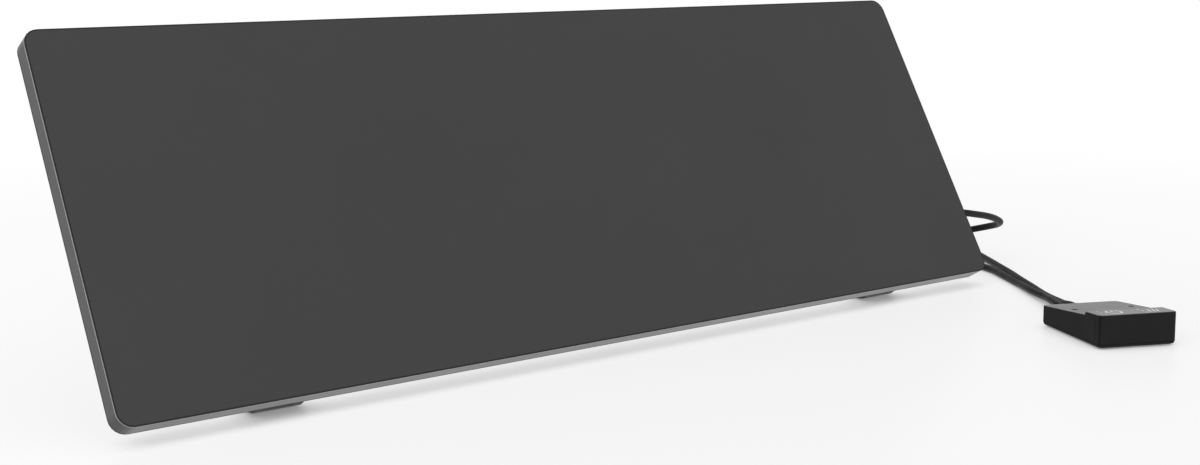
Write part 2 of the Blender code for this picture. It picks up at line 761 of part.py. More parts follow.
def terminal_block(panel):
    """Screw terminal strip: a screw well and a wire mouth for every way."""
    left = BLOCK_X - BLOCK_WIDTH / 2
    right = BLOCK_X + BLOCK_WIDTH / 2
    top = FITTING_FRONT + BLOCK_DEPTH
    low = TERMINAL_Z - BLOCK_HEIGHT / 2
    bm = block((left, FITTING_FRONT, low), (right, top, low + BLOCK_HEIGHT))
    body = add_body("terminal_block", bm, "white_plastic", panel)
    wells = []
    mouths = []
    for way in range(BLOCK_WAYS):
        z = TERMINAL_Z + BLOCK_PITCH * (way - (BLOCK_WAYS - 1) / 2)
        for x in (left + BLOCK_WIDTH / 4, right - BLOCK_WIDTH / 4):
            well_floor = (x, top - BLOCK_SCREW_DEPTH, z)
            wells.append(rod(well_floor, (x, top + OVERRUN, z), BLOCK_SCREW_RADIUS, SMALL_HOLE_STEPS))
        y = FITTING_FRONT + BLOCK_WIRE_RADIUS + OVERRUN
        for end, inward in ((right, -1), (left, 1)):
            floor = (end + inward * BLOCK_WIRE_DEPTH, y, z)
            mouth = (end - inward * OVERRUN, y, z)
            mouths.append(rod(floor, mouth, BLOCK_WIRE_RADIUS, SMALL_HOLE_STEPS))
    boolean(body, "terminal_wells", wells, "DIFFERENCE")
    boolean(body, "terminal_mouths", mouths, "DIFFERENCE")


def gland_place():
    return Vector((TERMINAL_X + TERMINAL_WIDTH / 2, FITTING_FRONT + GLAND_HEIGHT, TERMINAL_Z))


def panel_gland(panel):
    profile = tapered_relief(
        GLAND_FLANGE,
        GLAND_FLANGE_RADIUS,
        TERMINAL_WALL,
        GLAND_NECK_RADIUS,
        GLAND_COLLAR,
        GLAND_COLLAR_RADIUS,
        (GLAND_ROOT_RADIUS, GLAND_TIP_RADIUS, GLAND_LENGTH),
    )
    add_body("panel_gland", turned(profile, (1, 0, 0)), "rubber", panel, gland_place())


# folding feet


def bracket(panel, side, x):
    """Base plate on the panel's back with the hinge lug that carries the pin."""
    plate_back = BRACKET_BACK - PIN_BACK
    plate_front = FITTING_FRONT - PIN_BACK
    middle = (BRACKET_LOW + BRACKET_HIGH) / 2 - PIN_UP
    outline = rounded_rectangle(BRACKET_WIDTH, BRACKET_HIGH - BRACKET_LOW, BRACKET_CORNER)
    rings = [[(u, depth, v + middle) for u, v in outline] for depth in (plate_front, plate_back)]
    place = (x, PIN_BACK, PIN_UP)
    body = add_body(f"bracket_{side}", skin(rings), "foot_plastic", panel, place)
    root = plate_back - JOIN_DEPTH
    low = (root, BRACKET_LOW - PIN_UP + JOIN_DEPTH)
    high = (root, BRACKET_LOW - PIN_UP + LUG_ROOT)
    first = tangent_angle(low, KNUCKLE_RADIUS, 1) % math.tau
    last = tangent_angle(high, KNUCKLE_RADIUS, -1) % math.tau + math.tau
    outline = [low, *arc((0, 0), KNUCKLE_RADIUS, first, last), high]
    half = LUG_WIDTH / 2
    lug = skin([[(u, y, z) for y, z in outline] for u in (-half, half)])
    boolean(body, f"bracket_lug_{side}", [lug], "UNION")
    hole = rod((-half - OVERRUN, 0, 0), (half + OVERRUN, 0, 0), PIN_RADIUS + GAP)
    boolean(body, f"bracket_bore_{side}", [hole], "DIFFERENCE")


def hinge_pin(side, place):
    head = LEG_HALF + GAP
    end = head + PIN_HEAD + PIN_TAIL
    chamfer = PIN_TAIL
    profile = (
        (-head - PIN_HEAD, 0.0),
        (-head - PIN_HEAD, PIN_HEAD_RADIUS - chamfer),
        (-head - PIN_HEAD + chamfer, PIN_HEAD_RADIUS),
        (-head, PIN_HEAD_RADIUS),
        (-head, PIN_RADIUS),
        (end - chamfer, PIN_RADIUS),
        (end, PIN_RADIUS - chamfer),
        (end, 0.0),
    )
    add_body(f"hinge_pin_{side}", turned(profile, (1, 0, 0)), "pin_steel", None, place)


def retaining_ring(side, place):
    inner = LEG_HALF + GAP
    chamfer = PIN_TAIL
    profile = (
        (inner, PIN_RADIUS + GAP),
        (inner, PIN_HEAD_RADIUS),
        (inner + PIN_HEAD - chamfer, PIN_HEAD_RADIUS),
        (inner + PIN_HEAD, PIN_HEAD_RADIUS - chamfer),
        (inner + PIN_HEAD, PIN_RADIUS + GAP),
    )
    add_body(f"retaining_ring_{side}", turned(profile, (1, 0, 0), True), "pin_steel", None, place)


def leg_outline():
    """Side view of the leg, pin at zero: sole, tapered end, top, round knuckle and the stop heel."""
    sole = -KNUCKLE_RADIUS
    stop = Vector((math.cos(HEEL_STOP), math.sin(HEEL_STOP)))
    along = Vector((stop.y, -stop.x))
    upper_heel = stop * STOP_REACH
    lower_heel = upper_heel - along * HEEL_DROP
    top_angle = math.asin(LEG_TOP / KNUCKLE_RADIUS)
    upper_touch = tangent_angle(upper_heel, KNUCKLE_RADIUS, -1)
    lower_touch = tangent_angle(lower_heel, KNUCKLE_RADIUS, 1) % math.tau
    outline = [
        (LEG_REACH - LEG_END_ROUND, sole),
        (LEG_REACH, sole + LEG_END_ROUND),
        (LEG_REACH, LEG_END_TOP - LEG_END_ROUND),
        (LEG_REACH - LEG_END_ROUND, LEG_END_TOP),
    ]
    outline += arc((0, 0), KNUCKLE_RADIUS, top_angle, upper_touch)
    outline.append(tuple(upper_heel))
    outline.append(tuple(lower_heel))
    outline += arc((0, 0), KNUCKLE_RADIUS, lower_touch, math.radians(270))
    return outline


def leg(side, place):
    """Fork-ended leg with rounded edges, ribs between pockets underneath and seats for its pads."""
    outline = leg_outline()
    edge_share = 1 - math.sqrt(0.5)
    levels = (
        (-LEG_HALF, LEG_EDGE),
        (-LEG_HALF + LEG_EDGE * edge_share, LEG_EDGE * edge_share),
        (-LEG_HALF + LEG_EDGE, 0.0),
        (LEG_HALF - LEG_EDGE, 0.0),
        (LEG_HALF - LEG_EDGE * edge_share, LEG_EDGE * edge_share),
        (LEG_HALF, LEG_EDGE),
    )
    rings = [[(u, y, z) for y, z in inset_outline(outline, inset)] for u, inset in levels]
    body = add_body(f"leg_{side}", skin(rings), "foot_plastic", None, place)
    sole = -KNUCKLE_RADIUS
    far = KNUCKLE_RADIUS + STOP_REACH
    cuts = [block((-ARM_INNER, -far, -far), (ARM_INNER, LEG_SLOT_DEPTH, far))]
    pocket = (POCKET_LAST - POCKET_FIRST - POCKET_RIB * (POCKET_COUNT - 1)) / POCKET_COUNT
    half = LEG_HALF - POCKET_WALL
    for number in range(POCKET_COUNT):
        front = POCKET_FIRST + (pocket + POCKET_RIB) * number
        cuts.append(block((-half, front, sole - OVERRUN), (half, front + pocket, sole + POCKET_DEPTH)))
    boolean(body, f"leg_slot_{side}", cuts, "DIFFERENCE")
    seats = [rod((-LEG_HALF - OVERRUN, 0, 0), (LEG_HALF + OVERRUN, 0, 0), PIN_RADIUS + GAP)]
    reach = FOOT_PAD_WIDTH / 2 + GAP
    for front in (FOOT_PAD_FRONT, FOOT_PAD_REAR):
        seats.append(
            block(
                (-reach, front - GAP, sole - OVERRUN),
                (reach, front + FOOT_PAD_LENGTH + GAP, sole + PAD_SET + GAP),
            )
        )
    boolean(body, f"leg_seats_{side}", seats, "DIFFERENCE")


def pad_body(width, length, low, high):
    """A flat rubber pad with a small chamfer round its sole."""
    flat = rounded_rectangle(width, length, PAD_CHAMFER * 2)
    sole = rounded_rectangle(width, length, PAD_CHAMFER * 2, PAD_CHAMFER)
    return skin(
        (
            [(x, y, low) for x, y in sole],
            [(x, y, low + PAD_CHAMFER) for x, y in flat],
            [(x, y, high) for x, y in flat],
        )
    )


def foot_pads(side, place):
    sole = -KNUCKLE_RADIUS
    for name, front in (("front", FOOT_PAD_FRONT), ("rear", FOOT_PAD_REAR)):
        bm = pad_body(FOOT_PAD_WIDTH, FOOT_PAD_LENGTH, sole - PAD_PROUD, sole + PAD_SET)
        centre = Vector(place) + Vector((0, front + FOOT_PAD_LENGTH / 2, 0))
        add_body(f"foot_pad_{name}_{side}", bm, "rubber", None, centre)


def foot(panel, side, x):
    place = (x, PIN_Y, PIN_HEIGHT)
    bracket(panel, side, x)
    hinge_pin(side, place)
    retaining_ring(side, place)
    leg(side, place)
    foot_pads(side, place)


# control box


def control_ring(inset, level, slope=0.0):
    """A ring of the box's outline at a height, falling to the back by the slope."""
    outline = rounded_rectangle(CONTROL_WIDTH, CONTROL_DEPTH, CONTROL_CORNER, inset)
    ring = []
    for u, v in outline:
        y = v + CONTROL_DEPTH / 2
        ring.append((u + CONTROL_WIDTH / 2, y, level - slope * y))
    return ring


def bore_places():
    return ((BORE_INSET, BORE_BACK), (CONTROL_WIDTH - BORE_INSET, BORE_BACK))


def control_top(box):
    """Upper shell: sloping roof with a raised, flatter front lip, screw posts and the two cord holes."""
    slope = CONTROL_SLOPE_SHARE
    edge_share = 1 - math.sqrt(0.5)
    low = CONTROL_SPLIT + GAP
    rings = (
        control_ring(CONTROL_WALL, ROOF_FRONT, slope),
        control_ring(CONTROL_WALL, low),
        control_ring(0.0, low),
        control_ring(0.0, CONTROL_FRONT - CONTROL_EDGE, LIP_SLOPE_SHARE),
        control_ring(CONTROL_EDGE * edge_share, CONTROL_FRONT - CONTROL_EDGE * edge_share, LIP_SLOPE_SHARE),
        control_ring(CONTROL_EDGE, CONTROL_FRONT, LIP_SLOPE_SHARE),
    )
    body = add_body("control_top", skin(rings), "black_plastic", box)
    step = LIP_CHAMFER * CUT_HEIGHT / STEP_RISE
    foot_y = LIP_DEPTH + LIP_CHAMFER
    far = CONTROL_DEPTH + OVERRUN
    left = -OVERRUN
    right = CONTROL_WIDTH + OVERRUN
    rings = []
    for near, rise in ((foot_y, 0.0), (foot_y - step, CUT_HEIGHT)):
        corners = ((left, near), (right, near), (right, far), (left, far))
        rings.append([(x, y, RECESS_FRONT + rise - slope * y) for x, y in corners])
    boolean(body, "control_recess", [skin(rings)], "DIFFERENCE")
    posts = [rod((x, y, low), (x, y, POST_TOP), POST_RADIUS) for x, y in bore_places()]
    boolean(body, "control_posts", posts, "UNION")
    cuts = [rod((x, y, 0), (x, y, CONTROL_FRONT + OVERRUN), BORE_RADIUS) for x, y in bore_places()]
    inner = CONTROL_DEPTH - CONTROL_WALL - OVERRUN
    for x in BUSH_PLACES:
        cuts.append(rod((x, inner, BUSH_HEIGHT), (x, far, BUSH_HEIGHT), BUSH_NECK_RADIUS + GAP))
    boolean(body, "control_holes", cuts, "DIFFERENCE")


def control_base(box):
    """Lower tray with a rounded foot, screw posts, board stand-offs and pad seats."""
    floor = CONTROL_FLOOR
    rounding = CONTROL_BOTTOM_ROUND
    edge_share = 1 - math.sqrt(0.5)
    tray = CONTROL_TRAY
    rings = (
        control_ring(rounding, floor),
        control_ring(rounding * edge_share, floor + rounding * edge_share),
        control_ring(0.0, CONTROL_SPLIT),
        control_ring(CONTROL_WALL, CONTROL_SPLIT),
        control_ring(CONTROL_WALL, tray),
    )
    body = add_body("control_base", skin(rings), "black_plastic", box)
    ups = [rod((x, y, tray - JOIN_DEPTH), (x, y, CONTROL_SPLIT), POST_RADIUS) for x, y in bore_places()]
    stand = tray + BOARD_LIFT - GAP
    for x in (BOARD_INSET + STANDOFF_INSET, CONTROL_WIDTH - BOARD_INSET - STANDOFF_INSET):
        for y in (BOARD_FRONT + STANDOFF_INSET, BOARD_FRONT + BOARD_LENGTH - STANDOFF_INSET):
            ups.append(rod((x, y, tray - JOIN_DEPTH), (x, y, stand), STANDOFF_RADIUS, SMALL_HOLE_STEPS))
    boolean(body, "base_posts", ups, "UNION")
    cuts = [
        rod((x, y, floor - OVERRUN), (x, y, CONTROL_SPLIT + OVERRUN), BORE_RADIUS)
        for x, y in bore_places()
    ]
    for left in box_pad_places():
        low = (left - GAP, BOX_PAD_FRONT - GAP, floor - OVERRUN)
        right = left + BOX_PAD_WIDTH + GAP
        cuts.append(block(low, (right, BOX_PAD_FRONT + BOX_PAD_LENGTH + GAP, floor + BOX_PAD_SET + GAP)))
    boolean(body, "base_cuts", cuts, "DIFFERENCE")


def box_pad_places():
    return (BOX_PAD_INSET, CONTROL_WIDTH - BOX_PAD_INSET - BOX_PAD_WIDTH)


def box_pads(box):
    for number, left in enumerate(box_pad_places(), 1):
        bm = pad_body(BOX_PAD_WIDTH, BOX_PAD_LENGTH, 0.0, CONTROL_FLOOR + BOX_PAD_SET)
        place = (left + BOX_PAD_WIDTH / 2, BOX_PAD_FRONT + BOX_PAD_LENGTH / 2, 0)
        add_body(f"control_pad_{number}", bm, "rubber", box, place)


def board_bottom():
    return CONTROL_TRAY + BOARD_LIFT


def circuit_board(box):
    low = board_bottom()
    bm = block(
        (BOARD_INSET, BOARD_FRONT, low),
        (CONTROL_WIDTH - BOARD_INSET, BOARD_FRONT + BOARD_LENGTH, low + BOARD_THICK),
    )
    add_body("circuit_board", bm, "board_green", box)


def board_component(box, name, place, size, material):
    """A moulded component with a rounded top edge that stands on the circuit board."""
    low = board_bottom() + BOARD_THICK + GAP
    width, length, height = size
    flat = rounded_rectangle(width, length, COMPONENT_CORNER)
    top = rounded_rectangle(width, length, COMPONENT_CORNER, COMPONENT_CORNER / 2)
    bm = skin(
        (
            [(x, y, low) for x, y in flat],
            [(x, y, low + height - COMPONENT_CORNER / 2) for x, y in flat],
            [(x, y, low + height) for x, y in top],
        )
    )
    add_body(name, bm, material, box, (place[0] + width / 2, place[1] + length / 2, 0))


def touch_board(box):
    """Touch sensing board that lies close under the lip, parallel to it."""
    left = TOUCH_INSET
    right = CONTROL_WIDTH - TOUCH_INSET
    near = TOUCH_FRONT
    far = TOUCH_FRONT + TOUCH_LENGTH
    rings = []
    for level in (ROOF_FRONT - GAP - TOUCH_THICK, ROOF_FRONT - GAP):
        corners = ((left, near), (right, near), (right, far), (left, far))
        rings.append([(x, y, level - CONTROL_SLOPE_SHARE * y) for x, y in corners])
    add_body("touch_board", skin(rings), "board_green", box)


def cord_bushes(box):
    profile = tapered_relief(
        BUSH_FLANGE,
        BUSH_FLANGE_RADIUS,
        CONTROL_WALL,
        BUSH_NECK_RADIUS,
        BUSH_COLLAR,
        BUSH_COLLAR_RADIUS,
        (BUSH_ROOT_RADIUS, BUSH_TIP_RADIUS, BUSH_LENGTH),
    )
    for name, x in zip(("panel_bush", "mains_bush"), BUSH_PLACES):
        place = (x, CONTROL_DEPTH, BUSH_HEIGHT)
        add_body(name, turned(profile, (0, 1, 0)), "rubber", box, place)


# cords


def smooth_path(route, step):
    """Even points of the smooth curve through the route, whose first and last spans stay straight."""
    points = [Vector(point) for point in route]
    last = len(points) - 1
    spans = [(b - a).length for a, b in zip(points, points[1:])]
    slopes = []
    for index in range(last + 1):
        before = max(0, min(index - 1, last - 1))
        after = min(index, last - 1)
        if index <= 1:
            after = before = 0
        if index >= last - 1:
            after = before = last - 1
        share = spans[before] / (spans[before] + spans[after])
        arriving = (points[before + 1] - points[before]) / spans[before]
        leaving = (points[after + 1] - points[after]) / spans[after]
        slopes.append(arriving * (1 - share) + leaving * share)
    dense = [points[1]]
    for index in range(1, last - 1):
        span = spans[index]
        for sample in range(1, CORD_SAMPLES + 1):
            t = sample / CORD_SAMPLES
            dense.append(
                points[index] * (2 * t**3 - 3 * t**2 + 1)
                + slopes[index] * span * (t**3 - 2 * t**2 + t)
                + points[index + 1] * (3 * t**2 - 2 * t**3)
                + slopes[index + 1] * span * (t**3 - t**2)
            )
    return [points[0], *even_points(dense, step), points[-1]]


def even_points(dense, step):
    lengths = [0.0]
    for a, b in zip(dense, dense[1:]):
        lengths.append(lengths[-1] + (b - a).length)
    count = max(2, round(lengths[-1] / step))
    path = [dense[0]]
    place = 1
    for number in range(1, count):
        target = lengths[-1] * number / count
        while lengths[place] < target:
            place += 1
        share = (target - lengths[place - 1]) / (lengths[place] - lengths[place - 1])
        path.append(dense[place - 1].lerp(dense[place], share))
    path.append(dense[-1])
    return path


def add_tube(name, points, radius, material, resolution, parent=None):
    """A round tube with closed ends along the points."""
    curve = bpy.data.curves.new(name, "CURVE")
    curve.dimensions = "3D"
    curve.bevel_depth = radius
    curve.bevel_resolution = resolution
    curve.use_fill_caps = True
    spline = curve.splines.new("POLY")
    spline.points.add(len(points) - 1)
    for spot, point in zip(spline.points, points):
        spot.co = (*point, 1)
    curve.materials.append(paint(material))
    return link_object(name, curve, parent, (0, 0, 0))


def least_self_gap(points, diameter):
    """Least clear distance between two parts of one cord that are well apart along it."""
    spans = [(a, b) for a, b in zip(points, points[1:])]
    lengths = [0.0]
    for a, b in spans:
        lengths.append(lengths[-1] + (b - a).length)
    least = None
    for first in range(len(spans)):
        for second in range(first + 1, len(spans)):
            if lengths[second] - lengths[first + 1] < SELF_GAP_REACH * diameter:
                continue
            distance = span_distance(spans[first], spans[second])
            if least is None or distance < least:
                least = distance
    return least - diameter


def span_distance(first, second):
    """Least distance between two straight spans, by a step to the nearest point of each in turn."""
    t = 0.5
    other = 0.5
    for _ in range(20):
        point = first[0].lerp(first[1], t)
        other = nearest_share(second, point)
        t = nearest_share(first, second[0].lerp(second[1], other))
    return (first[0].lerp(first[1], t) - second[0].lerp(second[1], other)).length


def nearest_share(span, point):
    along = span[1] - span[0]
    return min(1.0, max(0.0, (point - span[0]).dot(along) / along.length_squared))


def coil_path(centre_x, centre_y, inner, turns):
    """A flat coil in two layers: in along the lower one, up in the middle half turn, out along the upper."""
    points = []
    count = round(turns * COIL_STEPS)
    for number in range(count + 1):
        turn = number / COIL_STEPS - turns / 2
        angle = COIL_START + math.tau * (turn + turns / 2)
        radius = inner + COIL_PITCH * abs(turn)
        share = min(1.0, max(0.0, 2 * turn + 0.5))
        rise = share * share * (3 - 2 * share)
        height = COIL_LOW + (COIL_HIGH - COIL_LOW) * rise
        points.append(
            Vector((centre_x + radius * math.cos(angle), centre_y + radius * math.sin(angle), height))
        )
    return points


def lead_in(end, before):
    """Two points that carry a cord straight on from a face: just past it, then one diameter on."""
    heading = (end - before).normalized()
    return [end + heading * GAP, end + heading * (GAP + CORD_DIAMETER)]


def metres(route):
    return [Vector(point) * MM for point in route]


def coil_tie(name, centre_x, centre_y, inner, outer):
    """A strap closed round the strands of a coil at one place."""
    low = COIL_LOW - CORD_RADIUS - TIE_GAP
    high = COIL_HIGH + CORD_RADIUS + TIE_GAP
    near = inner - CORD_RADIUS - TIE_SIDE_GAP
    far = outer + CORD_RADIUS + TIE_SIDE_GAP
    middle = (near + far) / 2
    rings = []
    half = TIE_WIDTH / 2
    for grow, along in ((0.0, -half), (TIE_THICK, -half), (TIE_THICK, half), (0.0, half)):
        outline = rounded_rectangle(far - near + 2 * grow, high - low + 2 * grow, TIE_CORNER + grow)
        rings.append([(u + middle, along, v + (low + high) / 2) for u, v in outline])
    bm = skin(rings, closed=True)
    bmesh.ops.rotate(bm, verts=bm.verts, cent=(0, 0, 0), matrix=Matrix.Rotation(TIE_ANGLE, 3, "Z"))
    add_body(name, bm, "rubber", None, (centre_x, centre_y, 0))


def tie_radii(turns):
    """Radii share of the innermost and outermost strands at the tie, in pitches from the inner radius."""
    offset = ((TIE_ANGLE - COIL_START) / math.tau - turns / 2) % 1.0
    shares = []
    turn = offset - math.ceil(turns)
    while turn <= turns / 2:
        if abs(turn) <= turns / 2:
            shares.append(abs(turn))
        turn += 1.0
    return min(shares), max(shares)


def add_coil(name, tie_name, centre_x, centre_y, inner, turns):
    path = coil_path(centre_x, centre_y, inner, turns)
    add_tube(name, path, CORD_RADIUS, "cord_black", COIL_BEVEL_RESOLUTION)
    least, most = tie_radii(turns)
    coil_tie(tie_name, centre_x, centre_y, inner + COIL_PITCH * least, inner + COIL_PITCH * most)
    print(f"{name}: least gap between its turns {least_self_gap(path, CORD_DIAMETER) / MM:.2f} mm")
    return path


def path_length(points):
    return sum((b - a).length for a, b in zip(points, points[1:]))


def add_lead(name, route):
    path = smooth_path(route, CORD_STEP)
    add_tube(name, path, CORD_RADIUS, "cord_black", CORD_BEVEL_RESOLUTION)
    gap = least_self_gap(path, CORD_DIAMETER)
    print(f"{name}: {path_length(path) / MM:.0f} mm long, least gap to itself {gap / MM:.2f} mm")
    return path


def bush_end(box, x):
    """Tip of a cord bush in the world and the point one span behind it."""
    tip = CONTROL_DEPTH + GAP + BUSH_COLLAR + BUSH_LENGTH
    return box @ Vector((x, tip, BUSH_HEIGHT)), box @ Vector((x, CONTROL_DEPTH, BUSH_HEIGHT))


def panel_lead(panel_world, box_world):
    """The lead from the panel to the control box: free loop, coil of the spare length, floor run."""
    root = gland_place()
    tip = root + Vector((GAP + GLAND_COLLAR + GLAND_LENGTH, 0, 0))
    coil = add_coil(
        "panel_coil", "panel_coil_tie", PANEL_COIL_X, PANEL_COIL_Y, PANEL_COIL_INNER, PANEL_COIL_TURNS
    )
    start = lead_in(panel_world @ tip, panel_world @ root)
    finish = lead_in(coil[0], coil[1])[::-1]
    loop = add_lead("panel_lead_loop", start + metres(LOOP_ROUTE) + finish)
    start = lead_in(coil[-1], coil[-2])
    finish = lead_in(*bush_end(box_world, BUSH_PLACES[0]))[::-1]
    run = add_lead("panel_lead_run", start + metres(PANEL_IN_ROUTE) + finish)
    total = path_length(loop) + path_length(coil) + path_length(run)
    print(f"panel lead: {total / MM:.0f} mm in all")


def mains_lead(box_world):
    """The lead from the control box along the floor to its coil and on to the plug."""
    coil = add_coil(
        "mains_coil", "mains_coil_tie", MAINS_COIL_X, MAINS_COIL_Y, MAINS_COIL_INNER, MAINS_COIL_TURNS
    )
    start = lead_in(*bush_end(box_world, BUSH_PLACES[1]))
    finish = lead_in(coil[0], coil[1])[::-1]
    run = add_lead("mains_lead_run", start + metres(MAINS_ROUTE) + finish)
    start = lead_in(coil[-1], coil[-2])
    tip = Vector((PLUG_X, PLUG_Y, PLUG_RADIUS + PLUG_LIFT))
    finish = lead_in(tip, tip - Vector((CORD_DIAMETER, 0, 0)))[::-1]
    tail = add_lead("mains_lead_tail", start + metres(TAIL_ROUTE) + finish)
    total = path_length(run) + path_length(coil) + path_length(tail)
    print(f"mains lead: {total / MM:.0f} mm in all")


def plug():
    """Round two-pin plug that lies on the floor, its strain relief towards the coil."""
    face = PLUG_RELIEF + PLUG_SHOULDER + PLUG_GRIP
    profile = (
        (0.0, 0.0),
        (0.0, PLUG_TIP_RADIUS),
        (PLUG_RELIEF, PLUG_ROOT_RADIUS),
        (PLUG_RELIEF + PLUG_SHOULDER, PLUG_RADIUS - PLUG_FOLD),
        (PLUG_RELIEF + PLUG_SHOULDER + PLUG_FOLD, PLUG_RADIUS),
        (face - PLUG_FOLD, PLUG_RADIUS),
        (face, PLUG_RADIUS - PLUG_FOLD),
        (face, 0.0),
    )
    height = PLUG_RADIUS + PLUG_LIFT
    add_body("plug_body", turned(profile, (-1, 0, 0)), "black_plastic", None, (PLUG_X, PLUG_Y, height))
    pin = (
        (0.0, 0.0),
        (0.0, PLUG_PIN_RADIUS),
        (PLUG_PIN_LENGTH - PLUG_PIN_TIP, PLUG_PIN_RADIUS),
        (PLUG_PIN_LENGTH, PLUG_PIN_RADIUS - PLUG_PIN_TIP),
        (PLUG_PIN_LENGTH, 0.0),
    )
    for number, side in enumerate((-1, 1), 1):
        place = (PLUG_X - face - GAP, PLUG_Y + side * PLUG_PIN_SPACE / 2, height)
        add_body(f"plug_pin_{number}", turned(pin, (-1, 0, 0)), "nickel", None, place)


def main():
    clear_scene()
    panel = frame_empty("panel_frame", (0, PANEL_EDGE_Y, PANEL_EDGE_Z), (-PANEL_LEAN, 0, 0))
    box = frame_empty("control_frame", (CONTROL_X, CONTROL_Y, 0), (0, 0, CONTROL_TURN))
    front_shell(panel)
    heat_spreader(panel)
    heating_cable(panel)
    insulation_board(panel)
    thermal_cutouts(panel)
    temperature_sensor(panel)
    rear_cover(panel)
    terminal_cover(panel)
    terminal_block(panel)
    panel_gland(panel)
    for side, x in (("left", -FOOT_X), ("right", FOOT_X)):
        foot(panel, side, x)
    control_top(box)
    control_base(box)
    box_pads(box)
    circuit_board(box)
    touch_board(box)
    board_component(box, "relay", RELAY_PLACE, RELAY_SIZE, "relay_blue")
    board_component(box, "power_module", MODULE_PLACE, MODULE_SIZE, "black_plastic")
    cord_bushes(box)
    bpy.context.view_layer.update()
    panel_lead(panel.matrix_world, box.matrix_world)
    mains_lead(box.matrix_world)
    plug()


main()
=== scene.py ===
import json
import math

import bmesh
import bpy
from mathutils import Matrix, Vector


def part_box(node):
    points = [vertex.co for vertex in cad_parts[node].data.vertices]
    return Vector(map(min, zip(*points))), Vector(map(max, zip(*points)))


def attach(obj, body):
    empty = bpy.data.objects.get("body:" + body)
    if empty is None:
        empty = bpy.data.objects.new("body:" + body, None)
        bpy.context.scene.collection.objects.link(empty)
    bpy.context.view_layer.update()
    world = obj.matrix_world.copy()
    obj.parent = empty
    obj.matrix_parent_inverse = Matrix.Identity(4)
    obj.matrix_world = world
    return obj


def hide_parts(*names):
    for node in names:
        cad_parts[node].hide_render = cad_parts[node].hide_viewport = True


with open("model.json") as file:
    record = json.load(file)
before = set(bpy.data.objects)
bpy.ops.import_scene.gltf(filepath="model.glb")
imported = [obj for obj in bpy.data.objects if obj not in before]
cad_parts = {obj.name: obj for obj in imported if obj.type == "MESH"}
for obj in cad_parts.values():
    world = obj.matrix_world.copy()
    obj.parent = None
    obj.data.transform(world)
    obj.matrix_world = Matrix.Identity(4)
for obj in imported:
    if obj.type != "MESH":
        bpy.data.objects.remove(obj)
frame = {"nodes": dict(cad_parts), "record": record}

# Looks of the heater panel, its folding feet, control box and leads. Metres, +Z up.

NODES = frame["nodes"]

# camera that sees the part as the photograph does
CAMERA_PLACE = (-0.9011, -1.0349, 0.3439)
CAMERA_TURN = (82.62, 0.0, -38.55)
CAMERA_LENS = 52.11
CAMERA_SENSOR = 36.0
CAMERA_SHIFT_Y = -0.06125

# panel and control box frames, as the part has them
PANEL_EDGE = (0.0, 0.04565)
PANEL_LEAN = math.radians(30)
PANEL_SIZE = (0.900, 0.301)
PANEL_CORNER = 0.012
PIN_BACK = 0.029
PIN_UP = 0.0075
PIN_HEIGHT = 0.0075
FOOT_X = 0.319
COVER_BACK = 0.0179
BRACKET_BACK = 0.0207
TERMINAL_CENTRE = (0.380, 0.072)
TERMINAL_BACK = 0.0362
GLAND_TIP = (0.4400, 0.0263, 0.072)
BOX_PLACE = (0.3044, -0.1883, 0.0)
BOX_TURN = math.radians(-24.13)
BOX_WIDTH = 0.0735
BOX_FRONT = 0.0293
LIP_SLOPE = 0.048
LIP_DEPTH = 0.0232
BOX_FLOOR = 0.001
CASE_NODES = ("control_top", "control_base")
BUSH_TIP = 0.1198
BUSH_HEIGHT = 0.009
BUSH_PLACES = (0.036, 0.047)

# painted bands: each rises from nothing at its first distance to full at its second
BORDER_BAND = (0.0015, 0.0012)
# next: the band of the painted highlight along the sides' front fold
FOLD_HIGHLIGHT_BAND = (0.0014, 0.0011)
# next: the band of the painted shade along the sides' back edge
BACK_EDGE_SHADE_BAND = (0.0152, 0.0158)
# next: the band of the painted shade lines beside the case's front corners
CORNER_SHADE_BAND = (0.0009, 0.0005)
LIP_BAND_HALF = 0.0001
# how far each painted shade line at the case's front corners stands in from the side and back from the front
CORNER_SHADE_LINES = ((0.0, 0.0069), (0.0013, 0.0017))

# studio floor: its share of plain white rises from FLOOR_WHITE near the part to all of it further out
FLOOR_HALF = 60
FLOOR_COLOUR = (0.86, 0.86, 0.86, 1.0)
FLOOR_NEAR = 0.5
FLOOR_FAR = 1.6
FLOOR_WHITE = 0.72
# its share in reflections, and how far and how deep it darkens under what nearly touches it
FLOOR_MIRRORED = 0.85
CONTACT_REACH = 0.02
CONTACT_BAND = (0.1, 0.9)
CONTACT_WHITE = 0.3

# studio light: one softbox at the left, with soft light from all round and a white sky
SOFTBOX_PLACE = (-2.2, -0.4, 1.4)
SOFTBOX_TARGET = (0.0, 0.1, 0.1)
SOFTBOX_SIZE = (1.6, 1.6)
SOFTBOX_POWER = 25
AROUND_COLOUR = (0.8, 0.8, 0.8, 1.0)
WHITE = (1.0, 1.0, 1.0, 1.0)

# cords: the same diameter, clearances and coils as the part's solids
CORD_DIAMETER = 0.007
GAP = 0.0003
COIL_PITCH = 0.00765
COIL_LOW = 0.0051
COIL_STEPS = 24
COIL_START = math.radians(90)
PANEL_COIL = (0.398, 0.191, 0.031, 3.5)
MAINS_COIL = (0.240, 0.196, 0.028, 5.0)
PLUG_TIP = (0.168, 0.243, 0.0181)
LOOP_ROUTE = (
    (0.4660, 0.1048, 0.0633),
    (0.4855, 0.1049, 0.0609),
    (0.5021, 0.1056, 0.0578),
    (0.5171, 0.1072, 0.0549),
    (0.5295, 0.1092, 0.0520),
    (0.5443, 0.1129, 0.0477),
    (0.5597, 0.1194, 0.0420),
    (0.5694, 0.1319, 0.0366),
    (0.5721, 0.1426, 0.0333),
    (0.5718, 0.1504, 0.0310),
    (0.5691, 0.1591, 0.0285),
    (0.5640, 0.1670, 0.0262),
    (0.5530, 0.1746, 0.0230),
    (0.5370, 0.1793, 0.0194),
    (0.5120, 0.1850, 0.0140),
    (0.4800, 0.2020, 0.0076),
    (0.4470, 0.2220, 0.0046),
)
